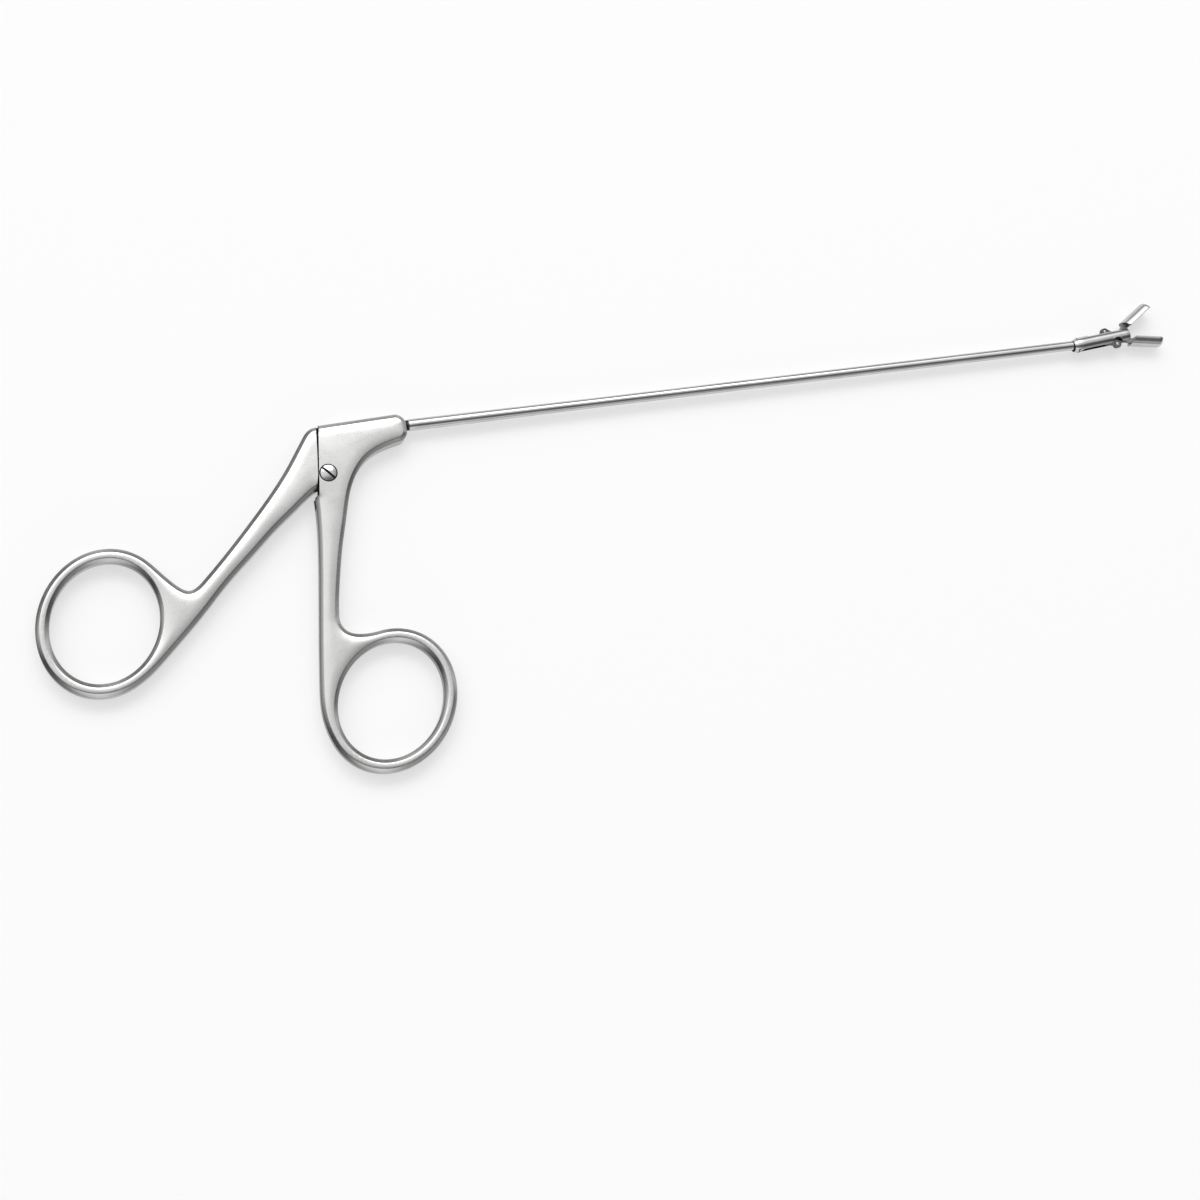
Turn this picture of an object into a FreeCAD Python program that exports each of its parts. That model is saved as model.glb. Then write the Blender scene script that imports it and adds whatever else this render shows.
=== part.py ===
"""Ring-handled biopsy forceps with two cup jaws, driven by a rod inside the shaft.

Millimetres. X runs along the shaft towards the jaws, Z along the pivot screw, and the finger rings
lie on the -Y side. The origin is on the shaft's axis, where the shaft leaves the head block.
The jaws stand open and the rings apart, as the instrument rests.
"""
import FreeCAD, Part
import math
import os

V = FreeCAD.Vector
UP = V(0, 0, 1)

# Fits, all radial or per side; a cutter runs past what it cuts by THROUGH
RUNNING = 0.04
SLIDING = 0.10
OPEN_PIVOT = 0.08
THROUGH = 3.0

# Handles: one forged section for both, thick at the head and thinner towards the rings
HEAD_THICK = 5.0
RING_THICK = 4.0
BEVEL = 0.9
FRONT_TAPER = (-14.0, -40.0)
REAR_TAPER = (-27.0, -52.0)
RING_INNER = (12.7, 10.8)
RING_OUTER = (15.6, 13.5)
FRONT_RING_AT = V(-13.7, -58.3, 0)
FRONT_RING_TURN = 56.0
REAR_RING_AT = V(-68.8, -33.7, 0)
REAR_RING_TURN = 65.0

# Head block and its joint with the rear handle
NOSE_X = -0.8
HEAD_TOP_Y = 1.75
JOINT_LEAN = 8.2
JOINT_FOOT_Y = -13.2
LEDGE_DROP = 4.0
PIVOT = V(-19.05, -8.75, 0)
JOINT_BEHIND_PIVOT = 1.98
JOINT_GAP_TOP = 0.55
JOINT_GAP_PIVOT = 0.18
JOINT_GAP_FOOT = 0.58
SLOT_WIDE = 2.0
SLOT_CUTTER_R = 11.0
SLOT_FRONT_X = -15.4
SLOT_CUTTER_Y = -5.0

# Rear handle's tongue and the ball that it pulls
TONGUE_R = 2.75
TONGUE_LOBE_R = 1.55
BALL_R = 0.86
BALL_NECK_R = 0.42
BALL_NECK_LONG = 2.6
BALL_AT = V(-18.6, 0, 0)
POCKET_PLAY = 0.06
POCKET_DRIFT = 0.06
MOUTH_PLAY = 0.2

# Pivot screw
SCREW_HEAD_R = 1.72
SCREW_SEAT = 0.7
SCREW_DOME = 0.35
SCREW_SHANK_R = 1.0
SCREW_THREAD_R = 0.85
SCREW_SLOT_WIDE = 0.4
SCREW_SLOT_DEEP = 0.5
SCREW_SLOT_TURN = -49.0

# Shaft tube and drive rod
TUBE_LONG = 159.3
TUBE_REAR_R = 1.28
TUBE_FRONT_R = 1.11
TUBE_TAPER_END = 48.0
TUBE_BORE_R = 0.7
TUBE_SEAT_LONG = 7.0
NECK_GROOVE = 0.16
ROD_R = 0.6
ROD_SOCKET_X = 3.7

# Jaw housing, in its own frame: it starts at the tube's front end and points slightly upwards
TIP_AT = V(TUBE_LONG, -0.2, 0)
TIP_TILT = 4.5
TUBE_IN_HOUSING = 1.2
HOUSING_R = 1.8
HOUSING_REAR_R = 1.38
HOUSING_TAPER = 2.4
HOUSING_LONG = 14.6
HOUSING_EDGE = 0.12
FORK_WIDE = 2.3
SCALLOP_R = 1.5

# Jaw linkage: the rod tongue pulls two links, and the links pull the tails of the jaws
JAW_PIVOT = V(HOUSING_LONG - 2.5, 0, 0)
TONGUE_PIN_X = JAW_PIVOT.x - 5.9
UPPER_TAIL_R = 2.1
UPPER_TAIL_TURN = 58.5
LOWER_TAIL_R = 3.3
LOWER_TAIL_TURN = 35.0
JAWS_SHUT = 3.5
UPPER_JAW_OPEN = JAWS_SHUT + 24.0
LOWER_JAW_OPEN = JAWS_SHUT - 17.0
PLATE = 0.5
PLATE_GAP = 0.05
PIN_R = 0.4
JAW_PIN_R = 0.45
EYE_R = 0.95
COLLAR_R = 0.95
COLLAR_FROM = 2.6
LINK_CLEAR = 0.75
COLLAR_TO = TONGUE_PIN_X - EYE_R - LINK_CLEAR
COLLAR_PLAY = 0.2
FORK_FROM = COLLAR_TO - 0.4
ROOM_FROM = 1.0
LINK_HALF = 0.6
TAIL_HALF = 0.75
TAIL_EYE_R = 0.85
PIVOT_EYE_R = 1.15
PIN_PROUD = 0.03

# Cup jaws
CUP_R = 2.0
CUP_FROM = 2.75
CUP_TO = 11.4
CUP_WALL = 0.34
CUP_FLOOR_FROM = 4.1
CUP_CORNER = 1.25
RIM_GAP = 0.03
CUP_RIM_FROM = 4.0
NECK_HIGH = 1.4
NECK_LOW = 0.6
NECK_FRONT = 2.6


def turned(angle, radius, centre=V(0, 0, 0)):
    """Point at an angle in degrees and a distance from a centre."""
    a = math.radians(angle)
    return centre + V(radius * math.cos(a), radius * math.sin(a), 0)


def drum(at, radius, low, high):
    """Upright cylinder about Z between two heights."""
    return Part.makeCylinder(radius, high - low, V(at.x, at.y, low), UP)


def box(low, high):
    """Box between two corners."""
    size = high - low
    return Part.makeBox(size.x, size.y, size.z, low)


def revolved(profile):
    """Solid turned about the X axis from (x, radius) pairs."""
    pts = [V(x, r, 0) for x, r in profile]
    closed = [V(profile[0][0], 0, 0)] + pts + [V(profile[-1][0], 0, 0)]
    face = Part.Face(Part.makePolygon(closed + closed[:1]))
    return face.revolve(V(0, 0, 0), V(1, 0, 0), 360)


def curve(points, start, end):
    """Smooth edge through the points, leaving and arriving along the two directions."""
    spline = Part.BSplineCurve()
    spline.interpolate(Points=points, InitialTangent=start, FinalTangent=end)
    return spline.toShape()


def arc(a, through, b):
    """Circular edge through three points."""
    return Part.Arc(a, through, b).toShape()


def line(a, b):
    """Straight edge."""
    return Part.LineSegment(a, b).toShape()


class Oval:
    """Ellipse in the handle's plane, read by the angle of its own parameter."""

    def __init__(self, centre, radii, turn):
        self.curve = Part.Ellipse(V(0, 0, 0), radii[0], radii[1])
        place = FreeCAD.Placement(centre, FreeCAD.Rotation(UP, turn))
        self.curve.transform(place.toMatrix())

    def at(self, t):
        return self.curve.value(math.radians(t))

    def along(self, t):
        """Direction of travel at t, with t rising."""
        return self.curve.tangent(math.radians(t))[0]

    def edge(self, t0, t1):
        return Part.ArcOfEllipse(self.curve, math.radians(t0), math.radians(t1)).toShape()

    def face(self):
        return Part.Face(Part.Wire([self.curve.toShape()]))


def joint_x(y):
    """Where the head block's rear face stands at a height."""
    lean = math.tan(math.radians(JOINT_LEAN))
    return PIVOT.x - JOINT_BEHIND_PIVOT + (y - PIVOT.y) * lean


def thickness_wedge(stations, along_x):
    """Slab that is thick at the head and thins towards the ring between two stations."""
    start, end = stations
    a, b = HEAD_THICK / 2, RING_THICK / 2
    reach = 80.0
    rows = [(start + reach, a), (start, a), (end, b), (end - reach, b)]
    rows += [(s, -h) for s, h in reversed(rows)]
    pts = [V(s, 0, h) if along_x else V(0, s, h) for s, h in rows]
    across = V(0, reach, 0) if along_x else V(reach, 0, 0)
    face = Part.Face(Part.makePolygon([p - across for p in pts + pts[:1]]))
    return face.extrude(across * 2)


def on_rim(edge, stations, along_x):
    """True for an edge that runs round a broad face, not for a fold between its flat and sloping parts."""
    first, last = edge.FirstParameter, edge.LastParameter
    pts = [edge.valueAt(first + (last - first) * k) for k in (0.05, 0.5, 0.95)]
    broad = min(abs(p.z) for p in pts) > RING_THICK / 2 - 0.05 and pts[0].z * pts[2].z > 0
    fold = any(max(abs((p.x if along_x else p.y) - s) for p in pts) < 1e-4 for s in stations)
    return broad and not fold


def forged(outline, hole, stations, along_x):
    """Handle blank: the outline with its ring hole, brought to thickness and bevelled all round."""
    plate = Part.Face(Part.Wire(outline)).cut(hole.face()).Faces[0]
    plate.translate(V(0, 0, -HEAD_THICK))
    blank = plate.extrude(V(0, 0, 2 * HEAD_THICK)).common(thickness_wedge(stations, along_x)).Solids[0]
    rims = [e for e in blank.Edges if on_rim(e, stations, along_x)]
    return blank.makeChamfer(BEVEL, rims)


def front_outline():
    """Edges round the front handle, with a tail past the joint that is cut off later."""
    ring = Oval(FRONT_RING_AT, RING_OUTER, FRONT_RING_TURN)
    web, leave, meet = V(-21.6, -39.5, 0), 150, 398
    under, chin, brow = V(-2.6, -3.7, 0), V(NOSE_X, -1.5, 0), V(NOSE_X, 0.3, 0)
    top, back, heel = V(-3.0, 2.33, 0), V(-22.6, HEAD_TOP_Y, 0), V(-22.6, -13.0, 0)
    stem = [web, V(-20.2, -31.6, 0), V(-18.4, -24.2, 0), V(-16.6, -18.2, 0), V(-14.9, -12.9, 0),
            V(-12.7, -9.0, 0), V(-10.1, -6.4, 0), V(-6.1, -4.55, 0), under]
    spine = [heel, V(-23.5, -24.4, 0), V(-25.1, -35.0, 0), V(-27.8, -52.7, 0), V(-28.3, -58.5, 0),
             ring.at(leave)]
    return [
        ring.edge(leave, meet),
        curve([ring.at(meet), V(-17.6, -43.55, 0), V(-20.5, -42.4, 0), web], ring.along(meet), V(0.1, 1, 0)),
        curve(stem, V(0.1, 1, 0), V(1, 0.2, 0)),
        curve([under, chin], V(1, 0.2, 0), V(0, 1, 0)),
        line(chin, brow),
        curve([brow, top], V(0, 1, 0), back - top),
        line(top, back),
        line(back, heel),
        curve(spine, V(0, -1, 0), ring.along(leave)),
    ]


def rear_outline():
    """Edges round the rear handle, with a tail past the joint that is cut off later."""
    ring = Oval(REAR_RING_AT, RING_OUTER, REAR_RING_TURN)
    meet, leave = 340, 588
    foot, head, crook = V(-18.5, -10.4, 0), V(-18.5, 1.9, 0), V(-47.6, -27.4, 0)
    crotch = [crook, V(-51.1, -29.5, 0), V(-53.9, -27.7, 0), ring.at(meet)]
    belly = [ring.at(leave), V(-56.0, -41.2, 0), V(-49.3, -35.1, 0), V(-43.3, -29.2, 0), V(-37.0, -23.7, 0),
             V(-30.9, -18.5, 0), V(-26.7, -15.3, 0), V(-22.8, -12.4, 0), foot]
    peak, nape = V(-20.6, 1.5, 0), V(-23.5, -0.9, 0)
    back = [nape, V(-27.2, -6.1, 0), V(-35.9, -16.0, 0), crook]
    return [
        ring.edge(meet, leave),
        curve(belly, ring.along(leave), V(1, 0.35, 0)),
        line(foot, head),
        line(head, peak),
        arc(peak, V(-22.3, 0.6, 0), nape),
        curve(back, V(-0.58, -0.81, 0), V(-0.743, -0.669, 0)),
        curve(crotch, V(-0.743, -0.669, 0), ring.along(meet)),
    ]


def prism(points, low, high):
    """Upright solid over a closed outline of corners."""
    face = Part.Face(Part.makePolygon(points + points[:1]))
    face.translate(V(0, 0, low))
    return face.extrude(V(0, 0, high - low))


def behind_line(top, foot, reach):
    """Upright block behind the line from top to foot, standing on the foot's ledge."""
    shelf = V(foot.x - reach, foot.y - LEDGE_DROP, 0)
    return prism([top, foot, shelf, V(shelf.x, top.y, 0)], -HEAD_THICK, HEAD_THICK)


def slot_cut():
    """Room for the tongue: a disc cutter run in from behind, with a straight upper part over it."""
    at = V(SLOT_FRONT_X - SLOT_CUTTER_R, SLOT_CUTTER_Y, 0)
    return drum(at, SLOT_CUTTER_R, -SLOT_WIDE / 2, SLOT_WIDE / 2)


def make_front_handle():
    """Head block, stem and finger ring, with the joint face, the slot and the bores."""
    ring = Oval(FRONT_RING_AT, RING_INNER, FRONT_RING_TURN)
    blank = forged(front_outline(), ring, FRONT_TAPER, False)
    top, foot = V(joint_x(6.0), 6.0, 0), V(joint_x(JOINT_FOOT_Y), JOINT_FOOT_Y, 0)
    blank = blank.cut(behind_line(top, foot, 8.0)).cut(slot_cut())
    seat = Part.makeCylinder(TUBE_REAR_R, TUBE_SEAT_LONG, V(NOSE_X - TUBE_SEAT_LONG, 0, 0), V(1, 0, 0))
    bore = Part.makeCylinder(TUBE_BORE_R, 12, V(NOSE_X - TUBE_SEAT_LONG - 12, 0, 0), V(1, 0, 0))
    face = HEAD_THICK / 2
    screw = drum(PIVOT, SCREW_HEAD_R + RUNNING, face - SCREW_SEAT, face + THROUGH)
    shank = drum(PIVOT, SCREW_SHANK_R, 0, face)
    thread = drum(PIVOT, SCREW_THREAD_R, -face - THROUGH, 0)
    return blank.cut(Part.makeCompound([seat.fuse(bore), screw.fuse(shank).fuse(thread)]))


def ball_pocket():
    """Pocket across the tongue for the ball, with a mouth to the front for the rod's neck."""
    r = BALL_R + POCKET_PLAY
    wide = BALL_NECK_R + MOUTH_PLAY
    middle = box(V(BALL_AT.x - r, -POCKET_DRIFT, -THROUGH), V(BALL_AT.x + r, POCKET_DRIFT, THROUGH))
    ends = [drum(V(BALL_AT.x, y, 0), r, -THROUGH, THROUGH) for y in (-POCKET_DRIFT, POCKET_DRIFT)]
    mouth = box(V(BALL_AT.x, -wide, -THROUGH), V(BALL_AT.x + THROUGH, wide, THROUGH))
    return middle.fuse(ends + [mouth])


def make_rear_handle():
    """Finger ring, stem and shoulder, and the tongue that reaches into the head block."""
    ring = Oval(REAR_RING_AT, RING_INNER, REAR_RING_TURN)
    blank = forged(rear_outline(), ring, REAR_TAPER, True)
    gaps = ((6.0, JOINT_GAP_TOP), (PIVOT.y, JOINT_GAP_PIVOT), (JOINT_FOOT_Y, JOINT_GAP_FOOT))
    face = [V(joint_x(y) - gap, y, 0) for y, gap in gaps]
    ahead = prism(face + [V(0, JOINT_FOOT_Y, 0), V(0, 6, 0)], -HEAD_THICK, HEAD_THICK)
    half = SLOT_WIDE / 2 - SLIDING
    tongue = drum(PIVOT, TONGUE_R, -half, half).fuse(drum(BALL_AT, TONGUE_LOBE_R, -half, half))
    web = prism([V(BALL_AT.x, TONGUE_LOBE_R, 0), V(-23.5, -1.5, 0), V(-24.5, -9.0, 0), V(-22.6, -11.6, 0),
                 V(PIVOT.x, PIVOT.y - TONGUE_R, 0), V(PIVOT.x + TONGUE_R, PIVOT.y, 0),
                 V(BALL_AT.x + TONGUE_LOBE_R, 0, 0)], -half, half)
    hole = drum(PIVOT, SCREW_SHANK_R + RUNNING, -THROUGH, THROUGH)
    return blank.cut(ahead).fuse([tongue, web]).cut(Part.makeCompound([hole, ball_pocket()])).removeSplitter()


def make_pivot_screw():
    """Slotted screw: domed head let into the near cheek, shank through the tongue, end in the far cheek."""
    face = HEAD_THICK / 2
    head = drum(PIVOT, SCREW_HEAD_R, face - SCREW_SEAT, face)
    bulge = (SCREW_HEAD_R ** 2 + SCREW_DOME ** 2) / (2 * SCREW_DOME)
    dome = Part.makeSphere(bulge, V(PIVOT.x, PIVOT.y, face + SCREW_DOME - bulge))
    dome = dome.common(drum(PIVOT, SCREW_HEAD_R, face, face + SCREW_DOME))
    shank = drum(PIVOT, SCREW_SHANK_R, 0, face - SCREW_SEAT)
    thread = drum(PIVOT, SCREW_THREAD_R, -face, 0)
    top = face + SCREW_DOME
    half = SCREW_SLOT_WIDE / 2
    slot = box(V(-THROUGH, -half, top - SCREW_SLOT_DEEP), V(THROUGH, half, top + THROUGH))
    slot.rotate(V(0, 0, 0), UP, SCREW_SLOT_TURN)
    slot.translate(PIVOT)
    return head.fuse([dome, shank, thread]).removeSplitter().cut(slot)


def tube_end_x():
    return TIP_AT.x + TUBE_IN_HOUSING


def tube_skin():
    """Outside of the tube, from its seat in the head to its seat in the jaw housing."""
    axis, rear, end, low = V(1, 0, 0), NOSE_X - TUBE_SEAT_LONG, tube_end_x(), TUBE_REAR_R - NECK_GROOVE
    thick, thin = V(0, TUBE_REAR_R, 0), V(TUBE_TAPER_END, TUBE_FRONT_R, 0)
    seat = [V(rear, 0, 0), V(rear, TUBE_REAR_R, 0), V(NOSE_X, TUBE_REAR_R, 0)]
    groove = [V(NOSE_X + 0.05, low, 0), V(-0.1, low, 0), thick]
    front = [thin, V(end, TUBE_FRONT_R, 0), V(end, 0, 0), seat[0]]
    edges = Part.makePolygon(seat + groove).Edges + [curve([thick, thin], axis, axis)]
    section = Part.Face(Part.Wire(edges + Part.makePolygon(front).Edges))
    return section.revolve(seat[0], axis, 360)


def make_shaft_tube():
    """Slim tube, thicker over its rear part, with a turned groove where it leaves the head."""
    start = NOSE_X - TUBE_SEAT_LONG
    bore = Part.makeCylinder(TUBE_BORE_R, tube_end_x() - start, V(start, 0, 0), V(1, 0, 0))
    return tube_skin().cut(bore)


def make_drive_rod():
    """Wire from the ball's neck to its socket in the rod tongue."""
    neck_end = BALL_AT.x + BALL_NECK_LONG
    front = TIP_AT.x + ROD_SOCKET_X
    shoulder = neck_end + ROD_R - BALL_NECK_R
    rod = revolved([(BALL_AT.x, BALL_NECK_R), (neck_end, BALL_NECK_R), (shoulder, ROD_R), (front, ROD_R)])
    return rod.cut(make_rod_ball())


def make_rod_ball():
    return Part.makeSphere(BALL_R, BALL_AT)


def at_tip(shape):
    """Carries a shape from the jaw housing's frame to the instrument's."""
    placed = shape.copy()
    placed.rotate(V(0, 0, 0), UP, TIP_TILT)
    placed.translate(TIP_AT)
    return placed


def tip_point(x, y):
    """Point of the jaw housing's frame, in the instrument's frame."""
    return TIP_AT + turned(TIP_TILT, x) + turned(TIP_TILT + 90, y)


def upper_pin_at():
    """Where the lower jaw's tail stands above the housing while the jaws are open."""
    return turned(180 - LOWER_TAIL_TURN, LOWER_TAIL_R, JAW_PIVOT)


def lower_pin_at():
    """Where the upper jaw's tail stands below the housing while the jaws are open."""
    return turned(180 + UPPER_TAIL_TURN, UPPER_TAIL_R, JAW_PIVOT)


def make_jaw_housing():
    """Fork on the tube's end: rounded rear taper, slot from top to bottom, scallop over the lower pin."""
    axis, start, end = V(1, 0, 0), V(0, 0, 0), V(HOUSING_LONG, 0, 0)
    neck, shoulder = V(0, HOUSING_REAR_R, 0), V(HOUSING_TAPER, HOUSING_R, 0)
    lip, rim = V(HOUSING_LONG - HOUSING_EDGE, HOUSING_R, 0), V(HOUSING_LONG, HOUSING_R - HOUSING_EDGE, 0)
    taper = curve([neck, shoulder], V(0.55, 0.45, 0), axis)
    edges = [line(start, neck), taper, line(shoulder, lip), line(lip, rim), line(rim, end), line(end, start)]
    body = Part.Face(Part.Wire(edges)).revolve(start, axis, 360)
    half = FORK_WIDE / 2
    fork = box(V(FORK_FROM, -THROUGH, -half), V(HOUSING_LONG + THROUGH, THROUGH, half))
    room_long = FORK_FROM - ROOM_FROM + SLIDING
    room = Part.makeCylinder(COLLAR_R + COLLAR_PLAY, room_long, V(ROOM_FROM, 0, 0), axis)
    scallop = drum(lower_pin_at(), SCALLOP_R, 0, THROUGH)
    pin = drum(JAW_PIVOT, JAW_PIN_R, -THROUGH, THROUGH)
    return at_tip(body.cut([fork, room, scallop, pin])).cut(tube_skin())


def make_jaw_pivot_pin():
    """Pin through both cheeks, ground flush with the housing's round outside."""
    pin = drum(JAW_PIVOT, JAW_PIN_R, -THROUGH, THROUGH)
    round_bar = Part.makeCylinder(HOUSING_R, HOUSING_LONG, V(0, 0, 0), V(1, 0, 0))
    return at_tip(pin.common(round_bar))


def make_rod_tongue():
    """Collar brazed to the rod, and the flat tongue that carries the links."""
    half = PLATE + PLATE_GAP / 2
    pin = V(TONGUE_PIN_X, 0, 0)
    collar = Part.makeCylinder(COLLAR_R, COLLAR_TO - COLLAR_FROM, V(COLLAR_FROM, 0, 0), V(1, 0, 0))
    flat = box(V(COLLAR_TO, -COLLAR_R, -half), V(TONGUE_PIN_X, COLLAR_R, half))
    tongue = collar.fuse([flat, drum(pin, COLLAR_R, -half, half)]).removeSplitter()
    return at_tip(tongue.cut(drum(pin, PIN_R, -THROUGH, THROUGH))).cut(make_drive_rod())


def make_rod_tongue_pin():
    half = 2 * PLATE + 1.5 * PLATE_GAP + PIN_PROUD
    return at_tip(drum(V(TONGUE_PIN_X, 0, 0), PIN_R, -half, half))


def layer(n):
    """Lower and upper height of one of the four plates in the fork, from -2 (far) to +1 (near)."""
    pitch = PLATE + PLATE_GAP
    low = n * pitch + PLATE_GAP / 2
    return low, low + PLATE


def bar(a, b, radius, span):
    """Flat bar with two round ends."""
    along = b - a
    side = V(-along.y, along.x, 0).normalize() * radius
    body = prism([a + side, a - side, b - side, b + side], *span)
    return body.fuse([drum(a, radius, *span), drum(b, radius, *span)]).removeSplitter()


def make_link(pin_at, span):
    """Link from the rod tongue to a jaw's tail; its front eye holds the tail's pin."""
    rear = V(TONGUE_PIN_X, 0, 0)
    plate = bar(rear, pin_at, LINK_HALF, span).fuse([drum(rear, EYE_R, *span), drum(pin_at, EYE_R, *span)])
    holes = [drum(rear, PIN_R + RUNNING, -THROUGH, THROUGH), drum(pin_at, PIN_R, -THROUGH, THROUGH)]
    return at_tip(plate.removeSplitter().cut(holes))


def make_link_pin(pin_at, tail, link):
    """Pin fixed in the link's eye, running in the tail's hole, its head just proud of the link."""
    if link[0] < tail[0]:
        return at_tip(drum(pin_at, PIN_R, link[0] - PIN_PROUD, tail[1]))
    return at_tip(drum(pin_at, PIN_R, tail[0], link[1] + PIN_PROUD))


def rounded_bar(radius, start, end, corner):
    """Bar about X whose side runs into both ends through a quarter circle."""
    rear, front = V(start + corner, radius - corner, 0), V(end - corner, radius - corner, 0)
    low, high = V(start, rear.y, 0), V(rear.x, radius, 0)
    shoulder, nose = V(front.x, radius, 0), V(end, front.y, 0)
    sides = Part.makePolygon([nose, V(end, 0, 0), V(start, 0, 0), low]).Edges
    rounds = [arc(low, turned(135, corner, rear), high), arc(shoulder, turned(45, corner, front), nose)]
    section = Part.Face(Part.Wire(Part.sortEdges(sides + rounds + [line(high, shoulder)])[0]))
    return section.revolve(V(0, 0, 0), V(1, 0, 0), 360)


def cup():
    """Half-round cup in a jaw's own frame: X along the jaw, the rim facing -Y."""
    outer = rounded_bar(CUP_R, CUP_FROM - CUP_CORNER, CUP_TO, CUP_CORNER)
    outer = outer.common(box(V(0, RIM_GAP, -THROUGH), V(CUP_TO, THROUGH, THROUGH)))
    inner = rounded_bar(CUP_R - CUP_WALL, CUP_FLOOR_FROM, CUP_TO - CUP_WALL, CUP_CORNER - CUP_WALL)
    heel = [V(0, -CUP_R, 0), V(CUP_RIM_FROM, -CUP_R, 0), V(CUP_RIM_FROM, RIM_GAP, 0), V(CUP_FROM, CUP_R, 0),
            V(0, CUP_R, 0)]
    return outer.cut([inner, prism(heel, -THROUGH, THROUGH)])


def make_jaw(flip, open_angle, tail_at, span):
    """Cup, neck and tail in one piece; flip -1 turns the cup's back downwards."""
    head = cup()
    if flip < 0:
        head = head.mirror(V(0, 0, 0), V(0, 1, 0))
    neck = prism([V(0, flip * EYE_R, 0), V(0, -flip * NECK_LOW, 0), V(NECK_FRONT, flip * RIM_GAP, 0),
                  V(CUP_FLOOR_FROM, flip * RIM_GAP, 0), V(CUP_FLOOR_FROM, flip * NECK_HIGH, 0)], *span)
    front = head.fuse(neck)
    front.rotate(V(0, 0, 0), UP, open_angle)
    front.translate(JAW_PIVOT)
    jaw = front.fuse([bar(JAW_PIVOT, tail_at, TAIL_HALF, span), drum(JAW_PIVOT, PIVOT_EYE_R, *span),
                      drum(tail_at, TAIL_EYE_R, *span)]).removeSplitter()
    holes = [drum(JAW_PIVOT, JAW_PIN_R + RUNNING, -THROUGH, THROUGH),
             drum(tail_at, PIN_R + OPEN_PIVOT, -THROUGH, THROUGH)]
    return at_tip(jaw.cut(holes))


def build():
    """All pieces by node name."""
    far_link, far_tail, near_tail, near_link = (layer(n) for n in (-2, -1, 0, 1))
    above, below = upper_pin_at(), lower_pin_at()
    return {
        "front_handle": make_front_handle(),
        "rear_handle": make_rear_handle(),
        "pivot_screw": make_pivot_screw(),
        "shaft_tube": make_shaft_tube(),
        "drive_rod": make_drive_rod(),
        "rod_ball": make_rod_ball(),
        "rod_tongue": make_rod_tongue(),
        "rod_tongue_pin": make_rod_tongue_pin(),
        "jaw_housing": make_jaw_housing(),
        "jaw_pivot_pin": make_jaw_pivot_pin(),
        "upper_jaw": make_jaw(1, UPPER_JAW_OPEN, below, near_tail),
        "lower_jaw": make_jaw(-1, LOWER_JAW_OPEN, above, far_tail),
        "upper_link": make_link(above, far_link),
        "lower_link": make_link(below, near_link),
        "upper_link_pin": make_link_pin(above, far_tail, far_link),
        "lower_link_pin": make_link_pin(below, near_tail, near_link),
    }


if __name__ == "__main__":
    os.makedirs("parts", exist_ok=True)
    for node, shape in build().items():
        shape.Solids[0].exportStep("parts/" + node + ".step")
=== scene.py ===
"""Looks of ring-handled biopsy forceps with two cup jaws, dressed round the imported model.

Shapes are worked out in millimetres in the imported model's frame: X along the shaft towards the jaws,
Z along the pivot screw, finger rings on the -Y side. They become metres when a mesh is made.
"""

import logging
import math
from dataclasses import dataclass, field
from enum import Enum
from typing import Sequence

import bmesh
import bpy
import numpy as np
from mathutils import Euler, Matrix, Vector, geometry

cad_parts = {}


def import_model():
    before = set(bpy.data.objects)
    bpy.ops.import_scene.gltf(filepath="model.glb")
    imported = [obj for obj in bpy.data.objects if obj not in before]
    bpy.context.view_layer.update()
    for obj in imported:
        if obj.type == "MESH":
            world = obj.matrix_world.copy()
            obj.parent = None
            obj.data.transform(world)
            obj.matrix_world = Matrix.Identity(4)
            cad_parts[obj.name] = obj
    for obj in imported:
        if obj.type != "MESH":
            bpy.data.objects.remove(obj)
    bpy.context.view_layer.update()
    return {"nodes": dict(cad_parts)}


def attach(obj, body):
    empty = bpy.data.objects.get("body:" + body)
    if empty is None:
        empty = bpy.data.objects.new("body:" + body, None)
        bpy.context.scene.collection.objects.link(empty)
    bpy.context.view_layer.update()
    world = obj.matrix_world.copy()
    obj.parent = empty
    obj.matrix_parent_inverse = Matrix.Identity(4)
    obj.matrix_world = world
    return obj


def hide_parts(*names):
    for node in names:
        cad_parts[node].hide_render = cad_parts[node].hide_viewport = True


MM = 0.001
LOG = logging.getLogger("forceps")


class Slot(Enum):
    """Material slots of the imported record."""

    SATIN = "satin_steel"
    BRIGHT = "bright_steel"


class Carving(Enum):
    """What a carving step does with the other mesh."""

    CUT = "DIFFERENCE"
    JOIN = "UNION"


class Domain(Enum):
    """What a carried number belongs to: a point of a smooth piece or a face of a sharp-edged one."""

    POINT = "POINT"
    FACE = "FACE"


# Surfaces worked out as whole arrays

Patch = tuple[np.ndarray, np.ndarray]


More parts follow.
